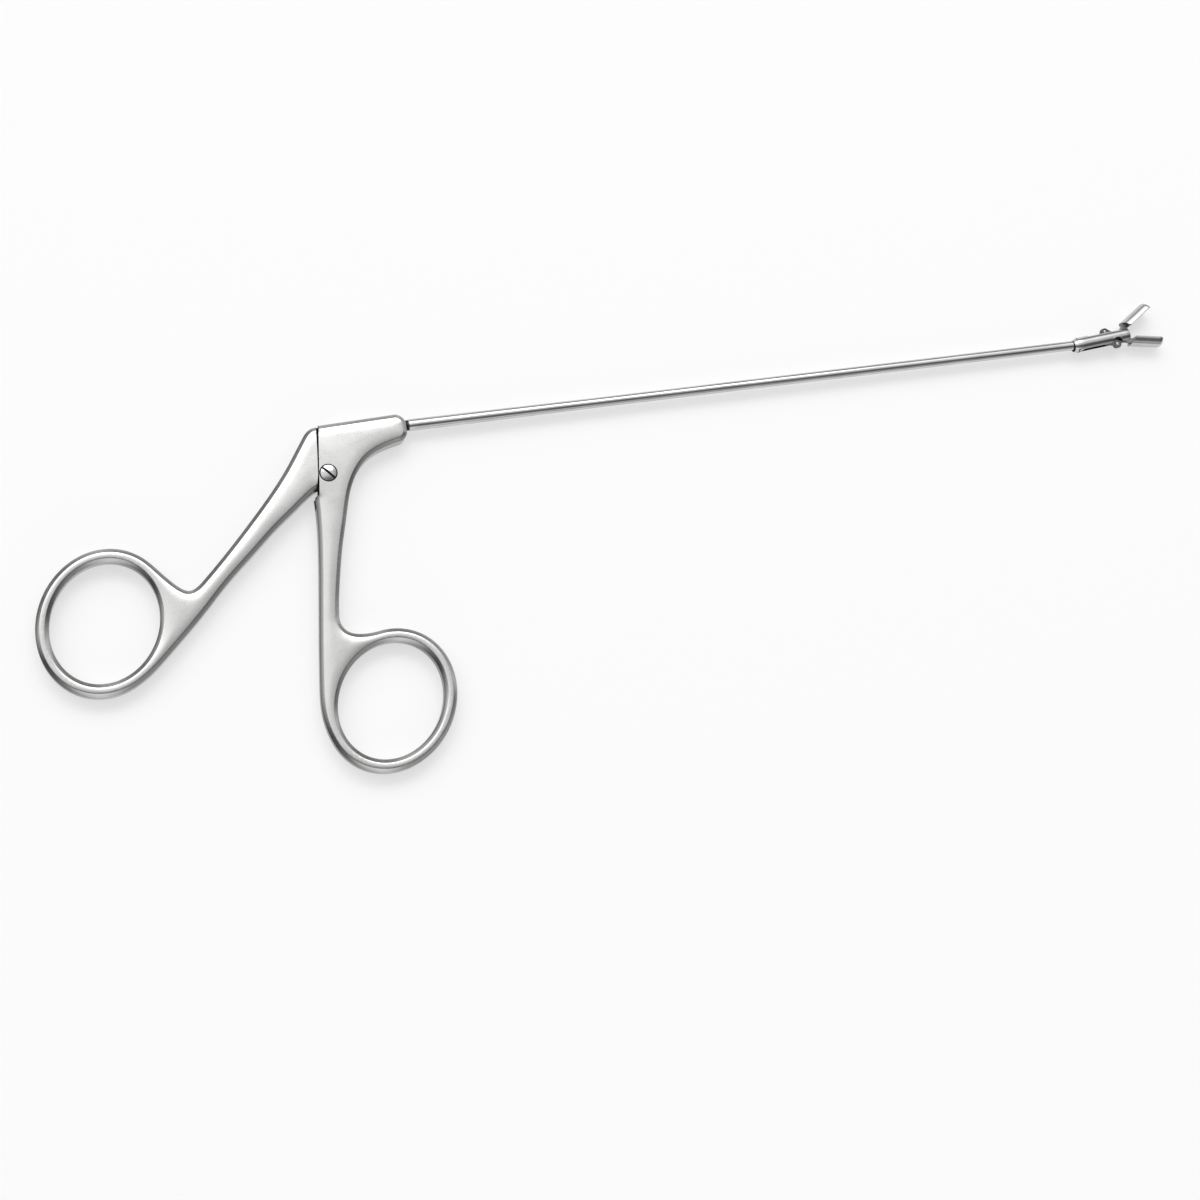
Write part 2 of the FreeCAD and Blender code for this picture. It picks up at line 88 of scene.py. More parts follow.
def spline(points: Sequence[tuple[float, float]], start: tuple[float, float], end: tuple[float, float],
           step: float = 0.35) -> np.ndarray:
    """Smooth line through a few points with a given direction at each end.

    The piecewise cubic whose slopes m solve m[i-1] w[i] + 2 (w[i-1] + w[i]) m[i] + m[i+1] w[i-1] = the
    weighted chord slopes, so that its curvature is unbroken; the parameter is the length along the chords.

    Args:
        points: the points that it passes through.
        start: direction of travel at the first point.
        end: direction of travel at the last point.
        step: distance between samples.

    Returns:
        Samples along the line, both ends included.
    """
    p = np.asarray(points, float)
    w = np.linalg.norm(np.diff(p, axis=0), axis=1)
    chord = np.diff(p, axis=0) / w[:, None]
    n = len(p)
    system = np.eye(n)
    right = np.zeros((n, 2))
    inner = np.arange(1, n - 1)
    system[inner, inner - 1] = w[1:]
    system[inner, inner] = 2 * (w[:-1] + w[1:])
    system[inner, inner + 1] = w[:-1]
    right[inner] = 3 * (w[1:, None] * chord[:-1] + w[:-1, None] * chord[1:])
    right[0] = np.array(start) / np.linalg.norm(start)
    right[-1] = np.array(end) / np.linalg.norm(end)
    slope = np.linalg.solve(system, right)
    knots = np.concatenate([[0.0], np.cumsum(w)])
    s = np.linspace(0, knots[-1], max(3, int(round(knots[-1] / step)) + 1))
    i = np.clip(np.searchsorted(knots, s, side="right") - 1, 0, n - 2)
    t = ((s - knots[i]) / w[i])[:, None]
    h = w[i][:, None]
    return ((2 * t**3 - 3 * t**2 + 1) * p[i] + (t**3 - 2 * t**2 + t) * h * slope[i]
            + (3 * t**2 - 2 * t**3) * p[i + 1] + (t**3 - t**2) * h * slope[i + 1])


def straight(a: Sequence[float], b: Sequence[float], step: float = 0.35) -> np.ndarray:
    """Evenly spaced samples of a straight run, both ends included."""
    count = max(2, int(round(np.linalg.norm(np.subtract(b, a)) / step)) + 1)
    return np.linspace(a, b, count)


def arc(centre: Sequence[float], radius: float, start: float, end: float, step: float = 0.12) -> np.ndarray:
    """Samples of a circular arc between two angles in degrees, both ends included."""
    a0, a1 = np.radians([start, end])
    a = np.linspace(a0, a1, max(4, int(abs(a1 - a0) * radius / step) + 1))
    return np.asarray(centre, float) + radius * np.stack([np.cos(a), np.sin(a)], 1)


@dataclass(frozen=True)
class Oval:
    """Ellipse in the handles' plane, read by the angle of its own parameter in degrees."""

    centre: tuple[float, float]
    radii: tuple[float, float]
    turn: float

    def at(self, t: float | np.ndarray) -> np.ndarray:
        """Point or points: the centre plus the turned (a cos t, b sin t)."""
        a, c, s = np.radians(t), math.cos(math.radians(self.turn)), math.sin(math.radians(self.turn))
        x, y = self.radii[0] * np.cos(a), self.radii[1] * np.sin(a)
        return np.stack([x * c - y * s, x * s + y * c], -1) + np.array(self.centre)

    def along(self, t: float) -> np.ndarray:
        """Direction of travel, with t rising."""
        return self.at(t + 0.5) - self.at(t - 0.5)

    def run(self, t0: float, t1: float, step: float = 1.4) -> np.ndarray:
        """Samples between two angles, both ends included."""
        return self.at(np.linspace(t0, t1, int(abs(t1 - t0) / step) + 1))


@dataclass
class Outline:
    """Closed line in a plane, travelled with the material on its left, as points in millimetres.

    square marks the edges (from each point to the next) that stand upright with no bevel.
    """

    points: np.ndarray
    square: np.ndarray

    @classmethod
    def joined(cls, runs: Sequence[tuple[np.ndarray, bool]]) -> "Outline":
        """Joins runs end to end; each run comes with whether its edges are square.

        Args:
            runs: the runs in order, the last one ending where the first begins.

        Returns:
            The closed outline, without the doubled points.
        """
        points = np.concatenate([run[:-1] for run, _ in runs])
        square = np.concatenate([np.full(len(run) - 1, flag) for run, flag in runs])
        return cls(points, square)

    def inset(self, bevelled: float, upright: float) -> np.ndarray:
        """The outline moved into the material, square edges by their own amount.

        Each point moves so that it stands at both of its edges' new distances: d solves n1 d = a1 and
        n2 d = a2 for the edges' inward normals n and amounts a, or follows their mean normal where the
        edges run on.

        Args:
            bevelled: distance for the bevelled edges.
            upright: distance for the square edges.

        Returns:
            The moved points, in the same order.
        """
        edge = np.roll(self.points, -1, axis=0) - self.points
        normal = np.stack([-edge[:, 1], edge[:, 0]], 1) / np.linalg.norm(edge, axis=1)[:, None]
        amount = np.where(self.square, upright, bevelled)
        n1, n2 = np.roll(normal, 1, axis=0), normal
        a1, a2 = np.roll(amount, 1), amount
        cross = n1[:, 0] * n2[:, 1] - n1[:, 1] * n2[:, 0]
        dot = np.sum(n1 * n2, axis=1)
        corner = np.abs(cross) > 0.2
        safe = np.where(corner, cross, 1.0)
        mitre = np.stack([a1 * n2[:, 1] - a2 * n1[:, 1], a2 * n1[:, 0] - a1 * n2[:, 0]], 1) / safe[:, None]
        mean = (n1 + n2) * ((a1 + a2) / 2 / np.maximum(1 + dot, 0.2))[:, None]
        return self.points + np.where(corner[:, None], mitre, mean)


def grid_faces(rows: int, cols: int, wrap_rows: bool = False, wrap_cols: bool = False) -> np.ndarray:
    """Quads of a grid of points numbered row by row."""
    r = np.arange(rows if wrap_rows else rows - 1)[:, None]
    c = np.arange(cols if wrap_cols else cols - 1)[None, :]
    r1, c1 = (r + 1) % rows, (c + 1) % cols
    corners = np.broadcast_arrays(r * cols + c, r * cols + c1, r1 * cols + c1, r1 * cols + c)
    return np.stack(corners, -1).reshape(-1, 4)


def sheet(points: np.ndarray, wrap_rows: bool = False, wrap_cols: bool = False) -> Patch:
    """Patch of quads over a grid of points, rows by columns by three."""
    rows, cols = points.shape[:2]
    return points.reshape(-1, 3), grid_faces(rows, cols, wrap_rows, wrap_cols)


def turned(profile: Sequence[tuple[float, float]], sides: int,
           sweep: tuple[float, float] = (0.0, 360.0)) -> Patch:
    """Surface turned about the X axis: each (x, r) of the profile goes to (x, r cos a, r sin a).

    Args:
        profile: the section, from end to end.
        sides: number of steps round.
        sweep: first and last angle in degrees; a whole turn is closed.

    Returns:
        The patch.
    """
    p = np.asarray(profile, float)
    whole = abs(sweep[1] - sweep[0] - 360) < 1e-6
    a = np.radians(np.linspace(*sweep, sides + 1))[: sides if whole else None]
    x = np.broadcast_to(p[:, :1], (len(p), len(a)))
    points = np.stack([x, p[:, 1:] * np.cos(a), p[:, 1:] * np.sin(a)], -1)
    return sheet(points, wrap_cols=whole)


def inside(points: np.ndarray, loop: np.ndarray) -> np.ndarray:
    """Whether each point lies in a closed loop: a ray from it crosses the loop an odd number of times."""
    a, b = loop, np.roll(loop, -1, axis=0)
    x, y = points[:, :1], points[:, 1:]
    spans = (a[:, 1] > y) != (b[:, 1] > y)
    rise = np.where(b[:, 1] == a[:, 1], 1.0, b[:, 1] - a[:, 1])
    return (spans & (x < a[:, 0] + (y - a[:, 1]) * (b[:, 0] - a[:, 0]) / rise)).sum(axis=1) % 2 == 1


def filled(loops: Sequence[np.ndarray], spacing: float) -> tuple[np.ndarray, np.ndarray]:
    """Triangles of the flat region inside the first loop and outside the others.

    A staggered lattice of inner points keeps the triangles even; the triangulation keeps every loop edge.

    Args:
        loops: closed loops of points in the plane.
        spacing: lattice pitch.

    Returns:
        Plane points and triangles.
    """
    low, high = loops[0].min(0), loops[0].max(0)
    xs, ys = np.arange(low[0], high[0], spacing), np.arange(low[1], high[1], spacing * 0.866)
    gx, gy = np.meshgrid(xs, ys)
    gx = gx + (np.arange(len(ys)) % 2 * spacing / 2)[:, None]
    lattice = np.stack([gx.ravel(), gy.ravel()], 1)
    rim = np.concatenate(loops)
    lattice = lattice[inside(lattice, loops[0])]
    for hole in loops[1:]:
        lattice = lattice[~inside(lattice, hole)]
    for loop in loops:
        lattice = lattice[off_edges(lattice, loop) > spacing * 0.5]
    sizes = [len(loop) for loop in loops]
    firsts = np.cumsum([0] + sizes[:-1])
    edges = np.concatenate([f + np.stack([np.arange(n), (np.arange(n) + 1) % n], 1)
                            for f, n in zip(firsts, sizes)])
    corners = np.concatenate([rim, lattice]).tolist()
    made = geometry.delaunay_2d_cdt(corners, edges.tolist(), [], 0, 1e-6)
    flat = np.array([tuple(v) for v in made[0]])
    tris = np.array(made[2])
    middle = flat[tris].mean(axis=1)
    keep = inside(middle, loops[0])
    for hole in loops[1:]:
        keep &= ~inside(middle, hole)
    return flat, tris[keep]


def off_edges(points: np.ndarray, loop: np.ndarray) -> np.ndarray:
    """Distance from each point to the closest place a + t (b - a), t from 0 to 1, of a loop's edges."""
    along = np.roll(loop, -1, axis=0) - loop
    off = points[:, None, :] - loop[None, :, :]
    t = np.clip((off * along).sum(-1) / np.maximum((along**2).sum(-1), 1e-12), 0, 1)
    return np.sqrt(((off - t[..., None] * along)**2).sum(-1).min(axis=1, initial=1e12))


def nearest(points: np.ndarray, rim: np.ndarray) -> np.ndarray:
    """Distance from each point to the closest point of the rim."""
    return np.sqrt(((points[:, None, :] - rim[None, :, :]) ** 2).sum(-1).min(axis=1))


def merged(patches: Sequence[Patch]) -> tuple[np.ndarray, list]:
    """Joins patches into one list of points and faces."""
    firsts = np.cumsum([0] + [len(points) for points, _ in patches[:-1]])
    faces = [face for (_, quads), first in zip(patches, firsts) for face in (quads + first).tolist()]
    return np.concatenate([points for points, _ in patches]), faces


def make_object(name: str, patches: Sequence[Patch], weld: float = 0.002) -> bpy.types.Object:
    """Mesh object from patches in millimetres, welded where they meet, closed and facing outwards.

    Args:
        name: the object's name.
        patches: the surfaces that make it up.
        weld: distance in millimetres under which points become one.

    Returns:
        The object, linked to the scene.
    """
    points, faces = merged(patches)
    mesh = bpy.data.meshes.new(name)
    mesh.from_pydata((points * MM).tolist(), [], faces)
    bm = bmesh.new()
    bm.from_mesh(mesh)
    bmesh.ops.remove_doubles(bm, verts=bm.verts, dist=weld * MM)
    bmesh.ops.dissolve_degenerate(bm, edges=bm.edges, dist=weld * MM / 4)
    bmesh.ops.recalc_face_normals(bm, faces=bm.faces)
    bm.to_mesh(mesh)
    bm.free()
    piece = bpy.data.objects.new(name, mesh)
    bpy.context.scene.collection.objects.link(piece)
    return piece


def baked(piece: bpy.types.Object) -> bpy.types.Object:
    """Applies the piece's modifiers."""
    bpy.context.view_layer.update()
    shown = piece.evaluated_get(bpy.context.evaluated_depsgraph_get())
    mesh = bpy.data.meshes.new_from_object(shown)
    piece.modifiers.clear()
    piece.data = mesh
    return piece


def carved(piece: bpy.types.Object, others: Sequence[bpy.types.Object], how: Carving) -> bpy.types.Object:
    """Joins other closed meshes to the piece, or cuts them away, one by one, and removes them.

    Args:
        piece: the mesh that changes.
        others: closed meshes, one of which that isn't closed would leave the piece uncut.
        how: whether they are cut away or joined.

    Returns:
        The piece.
    """
    for other in others:
        step = piece.modifiers.new("carve", "BOOLEAN")
        step.operation = how.value
        step.solver = "EXACT"
        step.object = other
        baked(piece)
        bpy.data.objects.remove(other)
    return piece


def honed(piece: bpy.types.Object, width: float, angle: float = 32.0, segments: int = 2) -> bpy.types.Object:
    """Breaks the piece's sharp edges.

    Args:
        piece: the piece.
        width: how far the bevel reaches from the edge, in millimetres.
        angle: the least angle in degrees that counts as sharp.
        segments: steps across the bevel.

    Returns:
        The piece, with the bevel applied.
    """
    bevel = piece.modifiers.new("broken edges", "BEVEL")
    bevel.width = width * MM
    bevel.segments = segments
    bevel.limit_method = "ANGLE"
    bevel.angle_limit = math.radians(angle)
    bevel.use_clamp_overlap = True
    return baked(piece)


def smooth(piece: bpy.types.Object, angle: float = 30.0) -> bpy.types.Object:
    """Smooth shading with creases kept above an angle in degrees."""
    mesh = piece.data
    mesh.polygons.foreach_set("use_smooth", np.ones(len(mesh.polygons), bool))
    mesh.set_sharp_from_angle(angle=math.radians(angle))
    return piece


# Finishes

@dataclass(frozen=True)
class Steel:
    """Stainless steel with a fine directional grain, faint clouding, painted flank shade and painted near-black
    cavity shade.

    Lengths are in millimetres; grain is the size of a grain mark along X, Y and Z. Three numbers that the
    meshes carry say where a place lies: flank (up to 1 on bevels and side walls), cavity (up to 1 in joints
    and slots) and worn (up to 1 on edges that hands and trays have polished). Flank and cavity are painted
    shade, flank grey on bevels and walls and cavity near black, set to how dark those places are in the
    photograph. They aren't finishes that the real steel is known to have, and they stay under any light.
    """

    name: str
    colour: tuple[float, float, float]
    # Colour of the painted flank shade.
    flank: tuple[float, float, float]
    roughness: float
    grain: tuple[float, float, float]
    depth: float
    clouds: float = 7.0
    contrast: float = 0.10
    # Colour of the painted near-black shade in cavities.
    cavity: tuple[float, float, float] = (0.035, 0.034, 0.033)
    bump: float = 0.3
    wear: float = 0.45
    dulled: float = 0.35

    def material(self) -> bpy.types.Material:
        """Builds the node material once and gives it again after that."""
        found = bpy.data.materials.get(self.name)
        if found:
            return found
        made = bpy.data.materials.new(self.name)
        made.use_nodes = True
        made.diffuse_color = (*self.colour, 1)
        tree = made.node_tree
        shader = tree.nodes["Principled BSDF"]
        shader.inputs["Metallic"].default_value = 1.0
        grain = self.noise(tree, [1 / (size * MM) for size in self.grain], 3.0)
        cloud = self.noise(tree, [1 / (self.clouds * MM)] * 3, 5.0)
        tree.links.new(self.tone(tree, grain, cloud), shader.inputs["Base Color"])
        tree.links.new(self.polish(tree, grain, cloud), shader.inputs["Roughness"])
        bump = tree.nodes.new("ShaderNodeBump")
        bump.inputs["Strength"].default_value = self.bump
        bump.inputs["Distance"].default_value = self.depth * MM
        tree.links.new(grain, bump.inputs["Height"])
        tree.links.new(bump.outputs["Normal"], shader.inputs["Normal"])
        return made

    def noise(self, tree: bpy.types.NodeTree, scale: Sequence[float], detail: float) -> bpy.types.NodeSocket:
        """Noise on Object coordinates, stretched by a scale along each axis.

        Args:
            tree: the material's nodes.
            scale: marks per metre along X, Y and Z.
            detail: number of finer octaves.

        Returns:
            The noise's value, about 0.5 on average.
        """
        where = tree.nodes.new("ShaderNodeTexCoord")
        mapping = tree.nodes.new("ShaderNodeMapping")
        mapping.inputs["Scale"].default_value = scale
        texture = tree.nodes.new("ShaderNodeTexNoise")
        texture.inputs["Scale"].default_value = 1.0
        texture.inputs["Detail"].default_value = detail
        texture.inputs["Roughness"].default_value = 0.6
        tree.links.new(where.outputs["Object"], mapping.inputs["Vector"])
        tree.links.new(mapping.outputs["Vector"], texture.inputs["Vector"])
        return texture.outputs["Fac"]

    def carried(self, tree: bpy.types.NodeTree, name: str) -> bpy.types.NodeSocket:
        """One of the numbers that the mesh carries."""
        node = tree.nodes.new("ShaderNodeAttribute")
        node.attribute_name = name
        return node.outputs["Fac"]

    def mixed(self, tree: bpy.types.NodeTree, share: bpy.types.NodeSocket, first: object,
              second: object) -> bpy.types.NodeSocket:
        """Mix of two colours.

        Args:
            tree: the material's nodes.
            share: 0 for the first colour, 1 for the second.
            first: a constant colour or a socket.
            second: a constant colour or a socket.

        Returns:
            The mixed colour.
        """
        node = tree.nodes.new("ShaderNodeMix")
        node.data_type = "RGBA"
        tree.links.new(share, node.inputs["Factor"])
        for socket, value in ((node.inputs[6], first), (node.inputs[7], second)):
            if isinstance(value, bpy.types.NodeSocket):
                tree.links.new(value, socket)
            else:
                socket.default_value = (*value, 1)
        return node.outputs[2]

    def ranged(self, tree: bpy.types.NodeTree, value: bpy.types.NodeSocket, low: float, high: float, start: float,
               end: float) -> bpy.types.NodeSocket:
        """Carries a value's range low to high over to start to end.

        Args:
            tree: the material's nodes.
            value: the value.
            low: where its range begins.
            high: where its range ends.
            start: what low becomes.
            end: what high becomes.

        Returns:
            The value in its new range, kept within it.
        """
        node = tree.nodes.new("ShaderNodeMapRange")
        for name, number in (("From Min", low), ("From Max", high), ("To Min", start), ("To Max", end)):
            node.inputs[name].default_value = number
        tree.links.new(value, node.inputs["Value"])
        return node.outputs["Result"]

    def maths(self, tree: bpy.types.NodeTree, operation: str, a: bpy.types.NodeSocket,
              b: bpy.types.NodeSocket | float) -> bpy.types.NodeSocket:
        """One sum or product of two values."""
        node = tree.nodes.new("ShaderNodeMath")
        node.operation = operation
        tree.links.new(a, node.inputs[0])
        if isinstance(b, bpy.types.NodeSocket):
            tree.links.new(b, node.inputs[1])
        else:
            node.inputs[1].default_value = b
        return node.outputs[0]

    def tone(self, tree: bpy.types.NodeTree, grain: bpy.types.NodeSocket,
             cloud: bpy.types.NodeSocket) -> bpy.types.NodeSocket:
        """Base colour: face tone, clouded and grained by a few percent, with painted flank shade and painted
        near-black shade in cavities.
        """
        dark = tuple(c * (1 - 2 * self.contrast) for c in self.colour)
        both = self.maths(tree, "ADD", grain, cloud)
        clouded = self.mixed(tree, self.ranged(tree, both, 0.75, 1.25, 0, 1), dark, self.colour)
        # Painted shade: the flank colour on bevels and walls, then near black in cavities.
        sided = self.mixed(tree, self.carried(tree, "flank"), clouded, self.flank)
        return self.mixed(tree, self.carried(tree, "cavity"), sided, self.cavity)

    def polish(self, tree: bpy.types.NodeTree, grain: bpy.types.NodeSocket,
               cloud: bpy.types.NodeSocket) -> bpy.types.NodeSocket:
        """Roughness: spread by grain and clouding, lower on worn edges and higher in cavities."""
        both = self.maths(tree, "ADD", grain, cloud)
        spread = self.ranged(tree, both, 0.7, 1.3, self.roughness * 0.8, self.roughness * 1.2)
        worn = self.maths(tree, "MULTIPLY", self.carried(tree, "worn"), -self.wear * self.roughness)
        dull = self.maths(tree, "MULTIPLY", self.carried(tree, "cavity"), self.dulled)
        return self.maths(tree, "ADD", self.maths(tree, "ADD", spread, worn), dull)


# Each steel's second colour is its painted flank shade.
SATIN = Steel("satin_forging", (0.60, 0.60, 0.595), (0.20, 0.20, 0.198), 0.29, (0.45, 0.09, 0.45), 0.002,
              contrast=0.05)
DRAWN = Steel("drawn_tube", (0.63, 0.63, 0.63), (0.45, 0.45, 0.45), 0.13, (6.0, 0.05, 0.05), 0.002)
GROUND = Steel("ground_tip", (0.62, 0.62, 0.62), (0.42, 0.42, 0.42), 0.15, (1.2, 0.06, 0.06), 0.002)
TURNED = Steel("turned_screw", (0.60, 0.60, 0.60), (0.42, 0.42, 0.42), 0.17, (0.08, 0.08, 0.08), 0.002)


def carry(piece: bpy.types.Object, name: str, values: np.ndarray, domain: Domain = Domain.POINT) -> None:
    """Stores one number per point or face on the piece's mesh, for its steel to read.

    Args:
        piece: the piece.
        name: flank, cavity or worn.
        values: the numbers, kept between 0 and 1.
        domain: whether there is one for each point or for each face.
    """
    held = piece.data.attributes
    attribute = held.get(name) or held.new(name, "FLOAT", domain.value)
    attribute.data.foreach_set("value", np.clip(values, 0, 1).astype(np.float32))


def vectors(items: bpy.types.bpy_prop_collection, name: str) -> np.ndarray:
    """One vector of each of a mesh's points or faces, as rows of three."""
    flat = np.empty(len(items) * 3, np.float32)
    items.foreach_get(name, flat)
    return flat.reshape(-1, 3).astype(float)


def middles_of(piece: bpy.types.Object) -> np.ndarray:
    """The middle of each of the piece's faces in millimetres."""
    return vectors(piece.data.polygons, "center") / MM


def points_of(piece: bpy.types.Object) -> np.ndarray:
    """The piece's points in millimetres."""
    return vectors(piece.data.vertices, "co") / MM


def finished(piece: bpy.types.Object, steel: Steel, slot: Slot, body: str, *nodes: str) -> bpy.types.Object:
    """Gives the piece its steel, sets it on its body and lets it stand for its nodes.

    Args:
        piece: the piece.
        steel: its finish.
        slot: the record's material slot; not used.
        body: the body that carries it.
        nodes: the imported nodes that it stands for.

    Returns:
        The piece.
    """
    piece.data.materials.clear()
    piece.data.materials.append(steel.material())
    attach(piece, body)
    if nodes:
        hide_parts(*nodes)
    LOG.info("%s: %d faces on %s", piece.name, len(piece.data.polygons), body)
    return piece


# The forged handles

@dataclass
class Forging:
    """Handle blank: flat faces that thin towards the ring, bevelled all round, with slightly fallen edges.

    The half thickness is a straight fall between two stations along one axis. The face falls by fall and
    sag near its rim, arris is the radius on both sides of the bevel, square the broken edge of the joint's
    face, land the least upright height beside the middle part and foot the height of the lowest row below
    the bevel. flank is how much of the painted flank shade the flanks get that don't face -X.
    """

    thick_head: float = 5.0
    thick_ring: float = 4.0
    bevel: float = 0.85
    fall: float = 0.16
    fall_wide: float = 1.9
    sag: float = 0.12
    sag_wide: float = 6.0
    arris: float = 0.34
    # Share of the painted flank shade on flanks that don't face -X.
    flank: float = 0.25
    square: float = 0.03
    land: float = 0.45
    foot: float = 0.35
    crown_reach: float = 0.3
    pitch: float = 0.45

    def half(self, xy: np.ndarray) -> np.ndarray:
        """Half thickness at plane points; each handle gives its own stations."""
        raise NotImplementedError

    def levels(self) -> list[tuple[float, float, float]]:
        """Steps up the edge from the wall to the face: (depth below the crowned rim, inset, square inset).

        Below, an arc of 45 degrees rounds the wall into the bevel. Above, an arc with the same radius rounds
        the bevel into the face, and ends at the face's own slope g at its rim; the corner that it cuts off
        stands at the bevel's width, and its tangents are r tan((45 - g) / 2) long.
        """
        b, r = self.bevel, self.arris
        t = math.tan(math.radians(22.5))
        g = math.atan(2 * self.fall / self.fall_wide + 2 * self.sag / self.sag_wide)
        reach = r * math.tan((math.radians(45) - g) / 2)
        low = np.radians(np.linspace(0, 45, 5))
        high = np.linspace(math.radians(45), g, 6)
        lower = np.stack([b + r * t - r * np.sin(low), r - r * np.cos(low)], 1)
        centre = (r * math.cos(g) - reach * math.sin(g), b + reach * math.cos(g) + r * math.sin(g))
        upper = np.stack([centre[0] - r * np.cos(high), centre[1] - r * np.sin(high)], 1)
        steps = [(b + self.foot, 0.0)] + lower.tolist() + upper.tolist()
        return [(depth, inset, max(0.0, self.square - max(0.0, depth))) for depth, inset in steps]

    def rings(self, outline: Outline, core: np.ndarray | None, core_half: float,
              rims: Sequence[np.ndarray]) -> tuple[np.ndarray, np.ndarray]:
        """Points of the edge all round, bottom to top, and the plane loop where the face begins.

        Args:
            outline: the edge's outline.
            core: where the outline runs between plus and minus core_half, or None if it doesn't change.
            core_half: half the height of that middle part, kept clear of the bevels where the forging thins.
            rims: the plane lines where bevel and face would meet, towards which the face falls.

        Returns:
            Grid of points and the inner plane loop.
        """
        crown = self.fallen(outline.inset(self.bevel, 0.0), rims)
        rows = []
        for depth, inset, upright in self.levels():
            xy = outline.inset(inset, upright)
            share = np.clip(1 - depth / (self.bevel + self.crown_reach), 0, 1)
            rows.append(np.column_stack([xy, self.half(xy) - np.maximum(depth + share * crown, 0)]))
        rows[-1][:, 2] = self.half(xy) - self.fallen(xy, rims)
        middle = []
        if core is not None:
            flat = np.minimum(core_half, self.half(outline.points) - self.bevel - self.land)
            middle = [np.column_stack([core, flat]), np.column_stack([outline.points, flat])]
        upper = middle + rows
        lower = [row * (1, 1, -1) for row in reversed(upper)]
        return np.stack(lower + upper), rows[-1][:, :2]

    def fallen(self, xy: np.ndarray, rims: Sequence[np.ndarray]) -> np.ndarray:
        """How far the crowned face lies below its plane near a bevelled rim.

        The sum of fall * (1 - d / fall_wide)^2 and sag * (1 - d / sag_wide)^2, with d the distance to the
        closest rim; each part is nothing beyond its width.
        """
        d = nearest(xy, np.concatenate(rims))
        narrow, wide = np.clip(1 - d / self.fall_wide, 0, 1), np.clip(1 - d / self.sag_wide, 0, 1)
        return self.fall * narrow**2 + self.sag * wide**2

    def face(self, loops: Sequence[np.ndarray], rims: Sequence[np.ndarray], side: int) -> Patch:
        """Broad face between the loops: the half thickness less the crown's fall towards the rims."""
        flat, tris = filled(loops, self.pitch)
        return np.column_stack([flat, side * (self.half(flat) - self.fallen(flat, rims))]), tris

    def blank(self, name: str, outline: Outline, hole: Outline, core: np.ndarray | None, core_half: float,
              pits: Sequence[tuple[tuple[float, float], float, float, int]]) -> bpy.types.Object:
        """Closed mesh of the handle.

        Args:
            name: the piece's name.
            outline: outer edge.
            hole: edge of the finger ring's hole.
            core: the outer edge in the middle of the thickness, if it differs.
            core_half: half the height of the middle.
            pits: round recesses as (centre, radius, depth, side of the handle).

        Returns:
            The object.
        """
        soft = ~(outline.square | np.roll(outline.square, 1))
        rims = [outline.inset(self.bevel, 0)[soft], hole.inset(self.bevel, 0)]
        outer, outer_loop = self.rings(outline, core, core_half, rims)
        inner, inner_loop = self.rings(hole, None, 0.0, rims)
        patches = [sheet(outer, wrap_cols=True), sheet(inner, wrap_cols=True)]
        for side in (-1, 1):
            loops = [outer_loop, inner_loop]
            for centre, radius, depth, pit_side in pits:
                if pit_side == side:
                    loops.append(arc(centre, radius, 360, 0, 0.1)[:-1])
                    patches += self.pit(loops[-1], depth, side, rims)
            patches.append(self.face(loops, rims, side))
        piece = smooth(make_object(name, patches), 30)
        self.marked(piece, pits)
        return piece

    def enclosed(self, points: np.ndarray) -> np.ndarray:
        """Whether each point lies in the joint, where it gets painted near-black shade; each handle knows its
        own.
        """
        raise NotImplementedError

    def marked(self, piece: bpy.types.Object,
               pits: Sequence[tuple[tuple[float, float], float, float, int]]) -> None:
        """Carries painted shade: on flanks by the depth below the face and near black in joint and pits; and worn
        on the upper arris.

        Flanks that face the thumb (-X) get the full flank colour and the others a share of it. That is painted
        shade by the way a flank faces: in the photograph those flanks are dark, by its light as far as can be
        told.

        Args:
            piece: the handle's mesh.
            pits: its round recesses, as in blank.
        """
        points = points_of(piece)
        drop = self.half(points[:, :2]) - np.abs(points[:, 2])
        crown = self.fall + self.sag
        normals = vectors(piece.data.vertex_normals, "vector")
        # Painted shade: flanks facing -X get the full flank colour, the others a share.
        facing = np.clip((-normals[:, 0] - 0.1) / 0.5, 0, 1)
        carry(piece, "flank", np.clip((drop - crown) / 0.22, 0, 1) * (self.flank + (1 - self.flank) * facing))
        carry(piece, "worn", 0.6 - np.abs(drop - crown - 0.05) / 0.15)
        # Painted near-black shade in the joint and in the pits.
        dark = np.where(self.enclosed(points), (drop - 0.05) / 0.2, 0)
        for centre, radius, _, side in pits:
            near = np.linalg.norm(points[:, :2] - centre, axis=1) < radius + 0.02
            dark = np.where(near & (points[:, 2] * side > 0), (drop - 0.1) / 0.2, dark)
        carry(piece, "cavity", dark)

    def pit(self, loop: np.ndarray, depth: float, side: int, rims: Sequence[np.ndarray]) -> list[Patch]:
        """Round recess: a wall straight down from the loop in two steps and a flat floor."""
        top = np.column_stack([loop, side * (self.half(loop) - self.fallen(loop, rims))])
        floor = np.column_stack([loop, side * (self.half(loop) - depth)])
        flat, tris = filled([loop], 0.6)
        level = side * (self.half(flat) - depth)
        wall = np.stack([top, top * 0.85 + floor * 0.15, floor])
        return [sheet(wall, wrap_cols=True), (np.column_stack([flat, level]), tris)]


